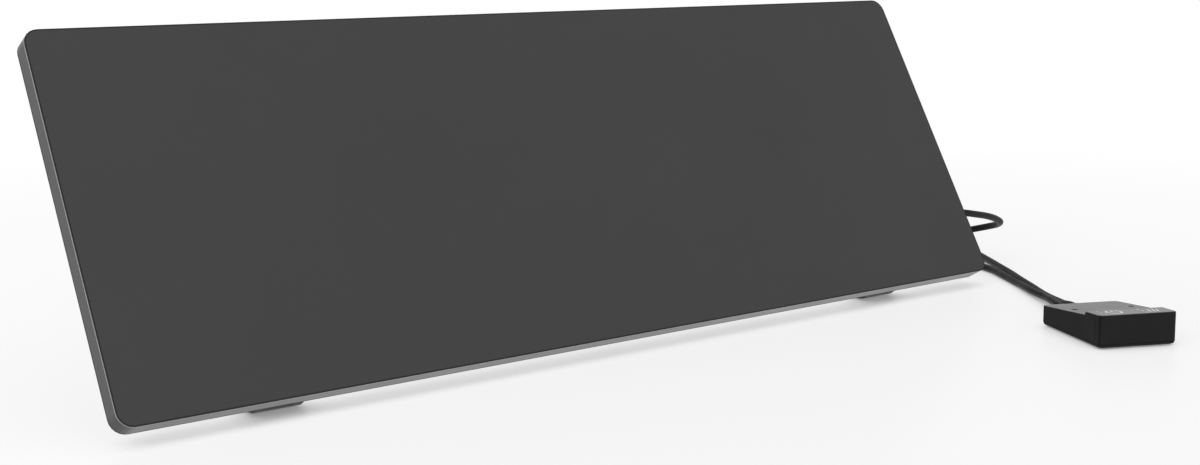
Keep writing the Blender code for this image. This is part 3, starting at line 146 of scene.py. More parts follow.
PANEL_IN_ROUTE = (
    (0.4360, 0.1470, 0.0095),
    (0.4680, 0.1460, 0.0050),
    (0.4890, 0.1390, 0.0038),
    (0.5040, 0.1220, 0.0036),
    (0.5075, 0.1040, 0.0036),
    (0.5030, 0.0869, 0.0036),
    (0.4850, 0.0539, 0.0036),
    (0.4657, 0.0221, 0.0036),
    (0.4610, 0.0149, 0.0040),
    (0.4439, -0.0102, 0.0047),
    (0.4323, -0.0284, 0.0055),
    (0.4229, -0.0437, 0.0063),
    (0.4020, -0.0700, 0.0084),
)
MAINS_ROUTE = (
    (0.4099, -0.0754, 0.0065),
    (0.4207, -0.0614, 0.0048),
    (0.4299, -0.0467, 0.0040),
    (0.4393, -0.0316, 0.0036),
    (0.4636, 0.0039, 0.0036),
    (0.4823, 0.0317, 0.0036),
    (0.4960, 0.0509, 0.0036),
    (0.5210, 0.0889, 0.0036),
    (0.5450, 0.1259, 0.0036),
    (0.5690, 0.1640, 0.0036),
    (0.5850, 0.1909, 0.0036),
    (0.5926, 0.2174, 0.0036),
    (0.5859, 0.2424, 0.0036),
    (0.5676, 0.2607, 0.0036),
    (0.5426, 0.2674, 0.0036),
    (0.4800, 0.2660, 0.0036),
    (0.4000, 0.2620, 0.0036),
    (0.3300, 0.2520, 0.0038),
    (0.2850, 0.2465, 0.0045),
)
TAIL_ROUTE = (
    (0.2120, 0.2430, 0.0136),
    (0.1900, 0.2430, 0.0162),
)


# frames and placing


def panel_matrix():
    drop = PIN_UP * math.cos(PANEL_LEAN) - PIN_BACK * math.sin(PANEL_LEAN)
    edge = Vector((*PANEL_EDGE, PIN_HEIGHT - drop))
    return Matrix.Translation(edge) @ Matrix.Rotation(-PANEL_LEAN, 4, "X")


def box_matrix():
    return Matrix.Translation(Vector(BOX_PLACE)) @ Matrix.Rotation(BOX_TURN, 4, "Z")


def link(name, data):
    thing = bpy.data.objects.new(name, data)
    bpy.context.scene.collection.objects.link(thing)
    return thing


def add_piece(name, bm, material, place, body="heater", smooth=35):
    """Links a mesh made in a frame's own axes as one piece that rides on a body."""
    bmesh.ops.recalc_face_normals(bm, faces=bm.faces)
    mesh = bpy.data.meshes.new(name)
    bm.to_mesh(mesh)
    bm.free()
    mesh.transform(place)
    mesh.materials.append(material)
    mesh.shade_smooth()
    mesh.set_sharp_from_angle(angle=math.radians(smooth))
    piece = link(name, mesh)
    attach(piece, body)
    return piece


def add_camera():
    data = bpy.data.cameras.new("camera")
    data.sensor_width = CAMERA_SENSOR
    data.lens = CAMERA_LENS
    data.shift_y = CAMERA_SHIFT_Y
    data.clip_start = 0.01
    data.clip_end = 300
    camera = link("camera", data)
    camera.location = CAMERA_PLACE
    camera.rotation_euler = [math.radians(turn) for turn in CAMERA_TURN]
    bpy.context.scene.camera = camera


# cords


def route_slopes(points):
    """Slope at each point of a route, whose first and last spans stay straight."""
    last = len(points) - 1
    spans = [(b - a).length for a, b in zip(points, points[1:])]
    slopes = []
    for index in range(last + 1):
        before = max(0, min(index - 1, last - 1))
        after = min(index, last - 1)
        if index <= 1:
            after = before = 0
        if index >= last - 1:
            after = before = last - 1
        share = spans[before] / (spans[before] + spans[after])
        arriving = (points[before + 1] - points[before]) / spans[before]
        leaving = (points[after + 1] - points[after]) / spans[after]
        slopes.append(arriving * (1 - share) + leaving * share)
    return slopes


def route_knots(route):
    """Curve points of a route with their two handles."""
    points = [Vector(point) for point in route]
    slopes = route_slopes(points)
    knots = []
    for index, (point, slope) in enumerate(zip(points, slopes)):
        before = points[max(index - 1, 0)]
        after = points[min(index + 1, len(points) - 1)]
        left = point - slope * (point - before).length / 3
        right = point + slope * (after - point).length / 3
        knots.append((left, point, right))
    return knots


def coil_points(centre_x, centre_y, inner, turns):
    """A flat coil in two layers, in along the lower one and out along the upper."""
    points = []
    count = round(turns * COIL_STEPS)
    for number in range(count + 1):
        turn = number / COIL_STEPS - turns / 2
        angle = COIL_START + math.tau * (turn + turns / 2)
        radius = inner + COIL_PITCH * abs(turn)
        share = min(1.0, max(0.0, 2 * turn + 0.5))
        height = COIL_LOW + COIL_PITCH * share * share * (3 - 2 * share)
        points.append(
            Vector((centre_x + radius * math.cos(angle), centre_y + radius * math.sin(angle), height))
        )
    return points


def coil_knots(points):
    knots = []
    for index, point in enumerate(points):
        before = points[max(index - 1, 0)]
        after = points[min(index + 1, len(points) - 1)]
        ends = 1 if index in (0, len(points) - 1) else 2
        reach = (after - before) / ends / 3
        knots.append((point - reach, point, point + reach))
    return knots


def straight_on(end, before):
    """A point that lies a diameter and a clearance straight on from an end."""
    return end + (end - before).normalized() * (GAP + CORD_DIAMETER)


def joined(*parts):
    """One run of knots, where each part starts at the point that the one before it ends at."""
    knots = list(parts[0])
    for part in parts[1:]:
        left = knots[-1][0]
        knots[-1] = (left, part[0][1], part[0][2])
        knots.extend(part[1:])
    return knots


def add_cord(name, knots, material):
    curve = bpy.data.curves.new(name, "CURVE")
    curve.dimensions = "3D"
    curve.bevel_depth = CORD_DIAMETER / 2
    curve.bevel_resolution = 5
    curve.resolution_u = 5
    curve.use_fill_caps = True
    curve.materials.append(material)
    spline = curve.splines.new("BEZIER")
    spline.bezier_points.add(len(knots) - 1)
    for spot, (left, point, right) in zip(spline.bezier_points, knots):
        spot.handle_left_type = spot.handle_right_type = "FREE"
        spot.co = point
        spot.handle_left = left
        spot.handle_right = right
    piece = link(name, curve)
    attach(piece, "heater")
    return piece


def knots_length(knots):
    """Length of the curve through the knots, by eight straight steps to a span."""
    total = 0.0
    steps = 8
    for (_, a, b), (c, d, _) in zip(knots, knots[1:]):
        before = a
        for step in range(1, steps + 1):
            t = step / steps
            point = a * (1 - t) ** 3 + b * 3 * t * (1 - t) ** 2 + c * 3 * t * t * (1 - t) + d * t**3
            total += (point - before).length
            before = point
    return total


def panel_lead(material):
    """From the panel's strain relief round the free loop to the coil, then to the control box."""
    tip = panel_matrix() @ Vector(GLAND_TIP)
    along = Vector((GAP, 0, 0))
    coil = coil_points(*PANEL_COIL)
    box = box_matrix()
    end = box @ Vector((BUSH_PLACES[0], BUSH_TIP + GAP, BUSH_HEIGHT))
    root = box @ Vector((BUSH_PLACES[0], 0, BUSH_HEIGHT))
    start = tip + along
    loop = [start, straight_on(start, tip), *LOOP_ROUTE, straight_on(coil[0], coil[1]), coil[0]]
    run = [coil[-1], straight_on(coil[-1], coil[-2]), *PANEL_IN_ROUTE, straight_on(end, root), end]
    knots = joined(route_knots(loop), coil_knots(coil), route_knots(run))
    cord = add_cord("panel_lead", knots, material)
    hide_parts("panel_lead_loop", "panel_coil", "panel_lead_run")
    return cord, tip, knots_length(knots)


def mains_lead(material):
    """From the control box along the floor to the coil and on to the plug."""
    box = box_matrix()
    tip = box @ Vector((BUSH_PLACES[1], BUSH_TIP, BUSH_HEIGHT))
    start = box @ Vector((BUSH_PLACES[1], BUSH_TIP + GAP, BUSH_HEIGHT))
    coil = coil_points(*MAINS_COIL)
    run = [start, straight_on(start, tip), *MAINS_ROUTE, straight_on(coil[0], coil[1]), coil[0]]
    end = Vector(PLUG_TIP) + Vector((GAP, 0, 0))
    tail = [coil[-1], straight_on(coil[-1], coil[-2]), *TAIL_ROUTE, straight_on(end, Vector(PLUG_TIP)), end]
    knots = joined(route_knots(run), coil_knots(coil), route_knots(tail))
    cord = add_cord("mains_lead", knots, material)
    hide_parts("mains_lead_run", "mains_coil", "mains_lead_tail")
    return cord, tip, knots_length(knots)


# materials


class Finish:
    """A node material under construction: its tree, its shader and the part's own coordinates."""

    def __init__(self, name, roughness, metallic=0.0, specular=0.5):
        self.material = bpy.data.materials.new(name)
        self.material.use_nodes = True
        self.tree = self.material.node_tree
        self.shader = self.tree.nodes["Principled BSDF"]
        self.shader.inputs["Roughness"].default_value = roughness
        self.shader.inputs["Metallic"].default_value = metallic
        self.shader.inputs["Specular IOR Level"].default_value = specular
        self.place = self.add("ShaderNodeTexCoord").outputs["Object"]

    def add(self, kind, **values):
        node = self.tree.nodes.new(kind)
        for key, value in values.items():
            setattr(node, key, value)
        return node

    def wire(self, output, target):
        self.tree.links.new(output, target)

    def stretched(self, shares, turn=(0.0, 0.0, 0.0)):
        """Coordinates turned and then scaled by these shares along each axis."""
        turned = self.add("ShaderNodeMapping")
        turned.inputs["Rotation"].default_value = turn
        self.wire(self.place, turned.inputs["Vector"])
        scaled = self.add("ShaderNodeMapping")
        scaled.inputs["Scale"].default_value = shares
        self.wire(turned.outputs["Vector"], scaled.inputs["Vector"])
        return scaled.outputs["Vector"]

    def in_frame(self, matrix):
        """The surface's place in a frame's own axes."""
        back = matrix.inverted()
        node = self.add("ShaderNodeMapping")
        node.inputs["Location"].default_value = back.to_translation()
        node.inputs["Rotation"].default_value = back.to_euler()
        self.wire(self.place, node.inputs["Vector"])
        return node.outputs["Vector"]

    def axis(self, vector, name):
        node = self.add("ShaderNodeSeparateXYZ")
        self.wire(vector, node.inputs["Vector"])
        return node.outputs[name]

    def vector(self, operation, first, second=None):
        """Result of a vector operation with a fixed second vector, where it takes one."""
        node = self.add("ShaderNodeVectorMath", operation=operation)
        self.wire(first, node.inputs[0])
        if second:
            node.inputs[1].default_value = second
        return node.outputs["Value" if operation in ("LENGTH", "DOT_PRODUCT") else "Vector"]

    def noise(self, scale, detail=3.0, rough=0.6, vector=None):
        node = self.add("ShaderNodeTexNoise")
        node.inputs["Scale"].default_value = scale
        node.inputs["Detail"].default_value = detail
        node.inputs["Roughness"].default_value = rough
        self.wire(vector or self.place, node.inputs["Vector"])
        return node.outputs["Fac"]

    def cells(self, scale, feature="F1", vector=None):
        node = self.add("ShaderNodeTexVoronoi", feature=feature)
        node.inputs["Scale"].default_value = scale
        self.wire(vector or self.place, node.inputs["Vector"])
        return node.outputs["Distance"]

    def remap(self, value, low, high, to_low=0.0, to_high=1.0):
        node = self.add("ShaderNodeMapRange")
        for key, number in zip(("From Min", "From Max", "To Min", "To Max"), (low, high, to_low, to_high)):
            node.inputs[key].default_value = number
        self.wire(value, node.inputs["Value"])
        return node.outputs["Result"]

    def combine(self, first, second, operation="MULTIPLY"):
        """Result of an operation on two values, each given as a number or as another node's output."""
        node = self.add("ShaderNodeMath", operation=operation)
        for value, socket in ((first, node.inputs[0]), (second, node.inputs[1])):
            if isinstance(value, float):
                socket.default_value = value
            else:
                self.wire(value, socket)
        return node.outputs["Value"]

    def mix(self, share, first, second):
        """A colour between two, each given as numbers or as another node's output."""
        node = self.add("ShaderNodeMix", data_type="RGBA")
        self.wire(share, node.inputs["Factor"])
        for value, socket in ((first, node.inputs[6]), (second, node.inputs[7])):
            if isinstance(value, tuple):
                socket.default_value = (*value, 1.0)
            else:
                self.wire(value, socket)
        return node.outputs[2]

    def between(self, share, first, second):
        """A number between two, each given as a number or as another node's output."""
        node = self.add("ShaderNodeMix", data_type="FLOAT")
        self.wire(share, node.inputs["Factor"])
        for value, socket in ((first, node.inputs[2]), (second, node.inputs[3])):
            if isinstance(value, float):
                socket.default_value = value
            else:
                self.wire(value, socket)
        return node.outputs[0]

    def colour(self, output):
        self.wire(output, self.shader.inputs["Base Color"])

    def roughness(self, output):
        self.wire(output, self.shader.inputs["Roughness"])

    def relief(self, *layers):
        """Bump layers, each as height, depth in metres and strength."""
        normal = None
        for height, depth, strength in layers:
            node = self.add("ShaderNodeBump")
            node.inputs["Distance"].default_value = depth
            node.inputs["Strength"].default_value = strength
            self.wire(height, node.inputs["Height"])
            if normal:
                self.wire(normal, node.inputs["Normal"])
            normal = node.outputs["Normal"]
        self.wire(normal, self.shader.inputs["Normal"])


def shade(colour, share):
    return tuple(part * share for part in colour)


def drifting(finish, colour, scale, spread):
    """Colour that drifts a little over the surface."""
    drift = finish.noise(scale, 4.0)
    return finish.mix(finish.remap(drift, 0.3, 0.7), shade(colour, 1 - spread), shade(colour, 1 + spread))


def mottled(finish, colour, scale, spread, low_rough, high_rough):
    """Colour and roughness that drift a little over the surface; returns the colour."""
    cloud = finish.noise(scale * 3, 5.0, 0.7)
    finish.roughness(finish.remap(cloud, 0.3, 0.7, low_rough, high_rough))
    return drifting(finish, colour, scale, spread)


def toward(finish, direction):
    """Share of the surface's own normal along a fixed direction."""
    normal = finish.add("ShaderNodeNewGeometry").outputs["Normal"]
    return finish.vector("DOT_PRODUCT", normal, direction)


def face_inset(finish, place):
    """How far a place on the panel's face lies in from its rounded outline."""
    half = (PANEL_SIZE[0] / 2 - PANEL_CORNER, 0.0, PANEL_SIZE[1] / 2 - PANEL_CORNER)
    flat = finish.vector("MULTIPLY", place, (1.0, 0.0, 1.0))
    centred = finish.vector("SUBTRACT", flat, (0.0, 0.0, PANEL_SIZE[1] / 2))
    past = finish.vector("SUBTRACT", finish.vector("ABSOLUTE", centred), half)
    beyond = finish.vector("MAXIMUM", past, (0.0, 0.0, 0.0))
    return finish.combine(PANEL_CORNER, finish.vector("LENGTH", beyond), "SUBTRACT")


def side_paint(finish, depth, edge):
    """Colour of the panel's sides: speckled, with painted shade at the back edge and a painted highlight
    along the front fold.
    """
    speckle = finish.remap(finish.noise(420.0, 4.0), 0.35, 0.6)
    side = finish.mix(speckle, (0.004, 0.004, 0.0041), (0.010, 0.010, 0.0102))
    # painted shade: a dark line along the back edge of the sides
    side = finish.mix(edge, side, (0.004, 0.004, 0.004))
    # painted highlight: a pale line along the front fold of the sides, where the turned edge catches the
    # light
    fold_highlight = finish.combine(finish.remap(depth, *FOLD_HIGHLIGHT_BAND), finish.remap(speckle, 0.0, 1.0, 0.7, 1.0))
    return finish.mix(fold_highlight, side, (0.26, 0.26, 0.262))


def powder_coat():
    """Fine matte powder coat: smoother on the sides, with a thin dark band round the face's edge."""
    finish = Finish("powder_coat", 0.6, specular=0.35)
    place = finish.in_frame(panel_matrix())
    depth = finish.axis(place, "Y")
    # mask of the painted shade along the sides' back edge, which is also made fully rough
    edge = finish.remap(depth, *BACK_EDGE_SHADE_BAND)
    face = toward(finish, (0.0, -math.cos(PANEL_LEAN), math.sin(PANEL_LEAN)))
    sides = finish.remap(face, 0.75, 0.45)
    tone = drifting(finish, (0.041, 0.0415, 0.043), 5.0, 0.03)
    border = finish.remap(face_inset(finish, place), *BORDER_BAND)
    tone = finish.mix(border, tone, (0.010, 0.010, 0.0105))
    finish.colour(finish.mix(sides, tone, side_paint(finish, depth, edge)))
    cloud = finish.noise(15.0, 5.0, 0.7)
    flat_rough = finish.remap(cloud, 0.3, 0.7, 0.52, 0.60)
    side_rough = finish.between(edge, finish.remap(cloud, 0.3, 0.7, 0.23, 0.29), 1.0)
    finish.roughness(finish.between(sides, flat_rough, side_rough))
    grain = finish.noise(2600.0, 2.0)
    peel = finish.noise(520.0, 2.0)
    finish.relief((peel, 0.00012, 0.25), (grain, 0.00005, 0.35))
    return finish.material


def satin_steel():
    """Painted back sheet with a faint rolling grain and a few light rub marks."""
    finish = Finish("painted_back_steel", 0.5, specular=0.4)
    tone = mottled(finish, (0.040, 0.041, 0.043), 7.0, 0.08, 0.42, 0.58)
    rolled = finish.noise(60.0, 4.0, 0.7, finish.stretched((1.0, 18.0, 18.0)))
    rubs = finish.noise(9.0, 6.0, 0.8, finish.stretched((1.0, 30.0, 30.0), (0.3, 0.0, 0.4)))
    finish.colour(finish.mix(finish.remap(rubs, 0.68, 0.8, 0.0, 0.5), tone, (0.11, 0.11, 0.112)))
    grain = finish.noise(2000.0, 2.0)
    finish.relief((rolled, 0.00008, 0.3), (grain, 0.00005, 0.3))
    return finish.material


def moulded(name, colour, rough, grain_scale, depth, specular=0.5, spread=0.06):
    """Moulded plastic with a spark-eroded grain."""
    finish = Finish(name, rough, specular=specular)
    finish.colour(mottled(finish, colour, 18.0, spread, rough - 0.05, rough + 0.06))
    pits = finish.cells(grain_scale)
    cloud = finish.noise(grain_scale * 0.4, 3.0)
    finish.relief((cloud, depth * 1.5, 0.3), (pits, depth, 0.5))
    return finish.material


def corner_shade_lines(finish, place):
    """Share of the painted shade lines that stand upright beside the two front corners, at the edges of the
    corner fillets.
    """
    flat = finish.vector("MULTIPLY", place, (1.0, 1.0, 0.0))
    centred = finish.vector("SUBTRACT", flat, (BOX_WIDTH / 2, 0.0, 0.0))
    folded = finish.vector("ABSOLUTE", centred)
    nearest = None
    for x, y in CORNER_SHADE_LINES:
        reach = finish.vector("LENGTH", finish.vector("SUBTRACT", folded, (BOX_WIDTH / 2 - x, y, 0.0)))
        nearest = reach if nearest is None else finish.combine(nearest, reach, "MINIMUM")
    return finish.remap(nearest, *CORNER_SHADE_BAND)


def case_plastic():
    """Black case of the control box: grained sides, a satin recess and a smooth touch lip."""
    finish = Finish("case_plastic", 0.5, specular=0.3)
    place = finish.in_frame(box_matrix())
    drift = finish.remap(finish.noise(60.0, 4.0), 0.3, 0.7)
    tone = finish.mix(drift, (0.0076, 0.0076, 0.0078), (0.0088, 0.0088, 0.0090))
    top = finish.remap(toward(finish, (0.0, 0.0, 1.0)), 0.6, 0.95)
    walls = finish.between(top, 1.0, 0.0)
    # painted shade: near-black upright lines beside the front corners, with a shallow groove in the relief
    lines = finish.combine(corner_shade_lines(finish, place), walls)
    finish.colour(finish.mix(lines, tone, (0.0002, 0.0002, 0.0002)))
    lip = finish.remap(finish.axis(place, "Y"), LIP_DEPTH + LIP_BAND_HALF, LIP_DEPTH - LIP_BAND_HALF)
    recess_rough = finish.remap(drift, 0.0, 1.0, 0.25, 0.30)
    lip_rough = finish.remap(drift, 0.0, 1.0, 0.09, 0.12)
    side_rough = finish.remap(drift, 0.0, 1.0, 0.80, 0.92)
    finish.roughness(finish.between(top, side_rough, finish.between(lip, recess_rough, lip_rough)))
    pits = finish.cells(1500.0)
    grain = finish.noise(600.0, 3.0)
    finish.relief((grain, 0.00004, 0.08), (pits, 0.00003, 0.12), (lines, -0.0008, 1.0))
    return finish.material


def soft_rubber(name, colour, rough):
    """Rubber with a matte skin and a trace of dust."""
    finish = Finish(name, rough, specular=0.3)
    tone = mottled(finish, colour, 25.0, 0.1, rough - 0.06, rough + 0.06)
    dust = finish.remap(finish.noise(110.0, 6.0, 0.75), 0.62, 0.82, 0.0, 0.35)
    finish.colour(finish.mix(dust, tone, (0.10, 0.098, 0.092)))
    finish.relief((finish.noise(900.0, 3.0), 0.00008, 0.4))
    return finish.material


def cord_sheath():
    """Extruded round sheath: a satin skin with slow waves and fine drag lines."""
    finish = Finish("cord_sheath", 0.5, specular=0.2)
    tone = mottled(finish, (0.0042, 0.0042, 0.0044), 22.0, 0.12, 0.46, 0.58)
    dust = finish.remap(finish.noise(140.0, 6.0, 0.8), 0.68, 0.86, 0.0, 0.2)
    finish.colour(finish.mix(dust, tone, (0.04, 0.039, 0.037)))
    finish.relief((finish.noise(70.0, 2.0), 0.0003, 0.25), (finish.noise(1500.0, 3.0), 0.00004, 0.35))
    return finish.material


def drawn_metal(name, colour, rough, shares, turn=(0.0, 0.0, 0.0)):
    """Bare metal with fine lines left by drawing or turning."""
    finish = Finish(name, rough, metallic=1.0)
    lines = finish.noise(300.0, 5.0, 0.7, finish.stretched(shares, turn))
    finish.colour(finish.mix(finish.remap(lines, 0.3, 0.7), shade(colour, 0.8), shade(colour, 1.1)))
    finish.roughness(finish.remap(finish.noise(40.0, 4.0), 0.3, 0.7, rough - 0.08, rough + 0.1))
    finish.relief((lines, 0.00003, 0.4))
    return finish.material


def foil():
    """Aluminium foil with shallow creases."""
    finish = Finish("spreader_foil", 0.3, metallic=1.0)
    creases = finish.cells(60.0, "DISTANCE_TO_EDGE", finish.stretched((1.0, 1.0, 1.6)))
    folds = finish.remap(creases, 0.0, 0.12)
    finish.colour(finish.mix(folds, (0.5, 0.5, 0.51), (0.66, 0.66, 0.67)))
    finish.roughness(finish.remap(finish.noise(30.0, 4.0), 0.3, 0.7, 0.22, 0.4))
    finish.relief((folds, 0.0002, 0.5), (finish.noise(500.0, 3.0), 0.00004, 0.3))
    return finish.material


def silicone():
    finish = Finish("heating_cable_silicone", 0.5)
    finish.colour(mottled(finish, (0.40, 0.06, 0.04), 40.0, 0.1, 0.42, 0.55))
    finish.relief((finish.noise(700.0, 2.0), 0.00005, 0.3))
    return finish.material


def fibre_board():
    """Felted mineral fibre: tangled strands over a mottled mat."""
    finish = Finish("insulation_fibre", 0.95, specular=0.1)
    strands = finish.noise(260.0, 6.0, 0.8, finish.stretched((1.0, 6.0, 6.0), (0.2, 0.5, 0.3)))
    across = finish.noise(240.0, 6.0, 0.8, finish.stretched((6.0, 1.0, 4.0), (0.6, 0.1, 0.9)))
    mat = finish.combine(strands, across, "ADD")
    finish.colour(finish.mix(finish.remap(mat, 0.8, 1.2), (0.42, 0.40, 0.33), (0.62, 0.60, 0.53)))
    finish.relief((mat, 0.0006, 0.6))
    return finish.material


def solder_mask():
    """Green board with paler tracks under its mask."""
    finish = Finish("board_solder_mask", 0.4)
    tracks = finish.add("ShaderNodeTexBrick", offset=0.5)
    tracks.inputs["Scale"].default_value = 110.0
    tracks.inputs["Mortar Size"].default_value = 0.03
    tracks.inputs["Color1"].default_value = (0.025, 0.12, 0.045, 1.0)
    tracks.inputs["Color2"].default_value = (0.03, 0.145, 0.05, 1.0)
    tracks.inputs["Mortar"].default_value = (0.05, 0.24, 0.09, 1.0)
    finish.wire(finish.stretched((1.0, 1.0, 0.0), (0.0, 0.0, -BOX_TURN)), tracks.inputs["Vector"])
    finish.colour(tracks.outputs["Color"])
    finish.roughness(finish.remap(finish.noise(200.0, 3.0), 0.3, 0.7, 0.34, 0.5))
    finish.relief((tracks.outputs["Fac"], 0.00005, 0.4))
    return finish.material


def printed_ink():
    """Pale printed ink, a little thin in places."""
    finish = Finish("printed_marks", 0.5, specular=0.3)
    worn = finish.remap(finish.noise(900.0, 5.0, 0.7), 0.4, 0.62)
    finish.colour(finish.mix(worn, (0.70, 0.70, 0.70), (0.82, 0.82, 0.82)))
    finish.relief((finish.noise(2500.0, 2.0), 0.00003, 0.3))
    return finish.material


def strap_weave():
    """Woven hook-and-loop strap."""
    finish = Finish("strap_weave", 0.85, specular=0.2)
    wave = finish.add("ShaderNodeTexWave", bands_direction="Y")
    wave.inputs["Scale"].default_value = 320.0
    wave.inputs["Distortion"].default_value = 1.5
    finish.wire(finish.place, wave.inputs["Vector"])
    fuzz = finish.noise(1600.0, 5.0, 0.8)
    weave = finish.combine(wave.outputs["Fac"], fuzz)
    finish.colour(finish.mix(weave, (0.012, 0.012, 0.013), (0.05, 0.05, 0.052)))
    finish.relief((weave, 0.0003, 0.6))
    return finish.material


def make_materials():
    return {
        "charcoal_paint": powder_coat(),
        "rear_steel": satin_steel(),
        "foil": foil(),
        "silicone": silicone(),
        "insulation": fibre_board(),
        "cutout_steel": drawn_metal("cutout_steel_drawn", (0.45, 0.45, 0.45), 0.35, (1.0, 8.0, 1.0)),
        "black_plastic": moulded("moulded_black", (0.009, 0.009, 0.0092), 0.34, 1500.0, 0.00004, 0.3),
        "foot_plastic": moulded("moulded_foot", (0.022, 0.022, 0.0225), 0.5, 1300.0, 0.00006, 0.4),
        "white_plastic": moulded("moulded_white", (0.62, 0.62, 0.60), 0.45, 900.0, 0.00003, spread=0.03),
        "pin_steel": drawn_metal("pin_steel_turned", (0.42, 0.42, 0.43), 0.3, (9.0, 1.0, 1.0)),
        "rubber": soft_rubber("rubber_matte", (0.016, 0.016, 0.016), 0.8),
        "cord_black": cord_sheath(),
        "board_green": solder_mask(),
        "relay_blue": moulded("moulded_blue", (0.05, 0.12, 0.35), 0.4, 1200.0, 0.00003),
        "nickel": drawn_metal("pin_nickel", (0.60, 0.58, 0.54), 0.25, (9.0, 1.0, 1.0)),
    }


def dress_nodes(materials):
    """Gives every CAD node the finish of its slot."""
    slots = {row["node"]: row["material_slot"] for row in frame["record"]["subparts"]}
    case = case_plastic()
    for name, node in NODES.items():
        finish = case if name in CASE_NODES else materials[slots[name]]
        for slot in node.material_slots:
            slot.material = finish


# small fasteners: each head's radius and height, then where the heads stand

COVER_SCREW = (0.0030, 0.0017)
COVER_SCREW_INSET = 0.0072
COVER_SCREW_END = 0.02
COVER_SCREW_MIDDLE = 0.15
COVER_SCREW_RISES = (0.10, 0.20)
BRACKET_SCREW = (0.0029, 0.0018)
BRACKET_SCREW_ACROSS = 0.0255
BRACKET_SCREW_RISES = (0.0095, 0.0485)
TERMINAL_SCREW = (0.0027, 0.0015)
TERMINAL_SCREW_ACROSS = 0.023
TERMINAL_SCREW_RISE = 0.0205
CASE_SCREW = (0.0022, 0.0008)
CASE_SCREW_DEPTHS = (0.009, 0.089)


def screw_mesh(radius, height):
    """A pan head with a rounded rim and a cross recess, its underside on the plane z = 0."""
    rim = height * 0.35
    profile = (
        (radius, -0.0001),
        (radius, rim),
        (radius * 0.93, height * 0.68),
        (radius * 0.75, height * 0.9),
        (radius * 0.45, height),
        (0.0, height),
    )
    bm = bmesh.new()
    verts = [bm.verts.new((x, 0, z)) for x, z in profile]
    floor = bm.verts.new((0, 0, -0.0001))
    edges = [bm.edges.new(pair) for pair in zip([floor, *verts], verts)]
    bmesh.ops.spin(bm, geom=[floor, *verts, *edges], cent=(0, 0, 0), axis=(0, 0, 1), angle=math.tau, steps=28)
    bmesh.ops.remove_doubles(bm, verts=bm.verts, dist=0.000001)
    bmesh.ops.recalc_face_normals(bm, faces=bm.faces)
    head = bpy.data.meshes.new("screw_head")
    bm.to_mesh(head)
    bm.free()
    thing = link("screw_head", head)
    tool = link("screw_recess", recess_mesh(radius, height))
    cut = thing.modifiers.new("recess", "BOOLEAN")
    cut.object = tool
    cut.operation = "DIFFERENCE"
    cut.solver = "EXACT"
    bpy.context.view_layer.update()
    shaped = bpy.data.meshes.new_from_object(thing.evaluated_get(bpy.context.evaluated_depsgraph_get()))
    bpy.data.objects.remove(thing)
    bpy.data.objects.remove(tool)
    return shaped


def recess_mesh(radius, height):
    """A tapered cross that sinks into a screw head."""
    wide = radius * 0.56
    narrow = radius * 0.15
    bm = bmesh.new()
    top = []
    for sign_x, sign_y in ((1, 1), (-1, 1), (-1, -1), (1, -1)):
        arm = [(wide, narrow), (narrow, narrow), (narrow, wide)]
        arm = [(x * sign_x, y * sign_y) for x, y in arm]
        top += arm if sign_x * sign_y > 0 else arm[::-1]
    ring = [bm.verts.new((x, y, height * 1.4)) for x, y in top]
    face = bm.faces.new(ring)
    grown = bmesh.ops.extrude_face_region(bm, geom=[face])["geom"]
    for item in grown:
        if isinstance(item, bmesh.types.BMVert):
            item.co.z = height * 0.35
            item.co.x *= 0.55
            item.co.y *= 0.55
    bmesh.ops.recalc_face_normals(bm, faces=bm.faces)
    mesh = bpy.data.meshes.new("screw_recess")
    bm.to_mesh(mesh)
    bm.free()
    return mesh


def add_screws(name, head, places, frame_matrix, direction, material):
    """A set of screw heads that stand on a plane of the frame, each turned a little differently."""
    outward = Vector(direction).to_track_quat("Z", "Y").to_matrix().to_4x4()
    bm = bmesh.new()
    for number, place in enumerate(places):
        spin = Matrix.Rotation(math.radians(37 * number + 12), 4, "Z")
        copy = head.copy()
        copy.transform(Matrix.Translation(Vector(place)) @ outward @ spin)
        bm.from_mesh(copy)
        bpy.data.meshes.remove(copy)
    add_piece(name, bm, material, frame_matrix, smooth=40)


def cover_screw_places():
    """Four places along each long edge of the rear cover, and two along each end."""
    half = PANEL_SIZE[0] / 2
    outer = half - COVER_SCREW_END
    columns = (-outer, -COVER_SCREW_MIDDLE, COVER_SCREW_MIDDLE, outer)
    rises = (COVER_SCREW_INSET, PANEL_SIZE[1] - COVER_SCREW_INSET)
    places = [(x, COVER_BACK, z) for z in rises for x in columns]
    ends = (COVER_SCREW_INSET - half, half - COVER_SCREW_INSET)
    return places + [(x, COVER_BACK, z) for x in ends for z in COVER_SCREW_RISES]


def bracket_screw_places():
    """Two places, one above the other, at each side of each bracket."""
    return [
        (side * FOOT_X + across * BRACKET_SCREW_ACROSS, BRACKET_BACK, z)
        for side in (-1, 1)
        for across in (-1, 1)
        for z in BRACKET_SCREW_RISES
    ]


def terminal_screw_places():
    """Two opposite corners of the terminal cover."""
    x, z = TERMINAL_CENTRE
    return [
        (x + side * TERMINAL_SCREW_ACROSS, TERMINAL_BACK, z - side * TERMINAL_SCREW_RISE)
        for side in (-1, 1)
    ]


def fasteners(material):
    """Screw heads of the rear cover, the brackets, the terminal cover and the control box's case."""
    sets = (
        ("cover_screws", COVER_SCREW, cover_screw_places()),
        ("bracket_screws", BRACKET_SCREW, bracket_screw_places()),
        ("terminal_cover_screws", TERMINAL_SCREW, terminal_screw_places()),
    )
    for name, size, places in sets:
        add_screws(name, screw_mesh(*size), places, panel_matrix(), (0, 1, 0), material)
    case = [(BOX_WIDTH / 2, y, BOX_FLOOR) for y in CASE_SCREW_DEPTHS]
    add_screws("case_screws", screw_mesh(*CASE_SCREW), case, box_matrix(), (0, 0, -1), material)


# touch marks on the lip: places run across it and back from its front edge, and each column of dots
# has its place across and the radius of its dots

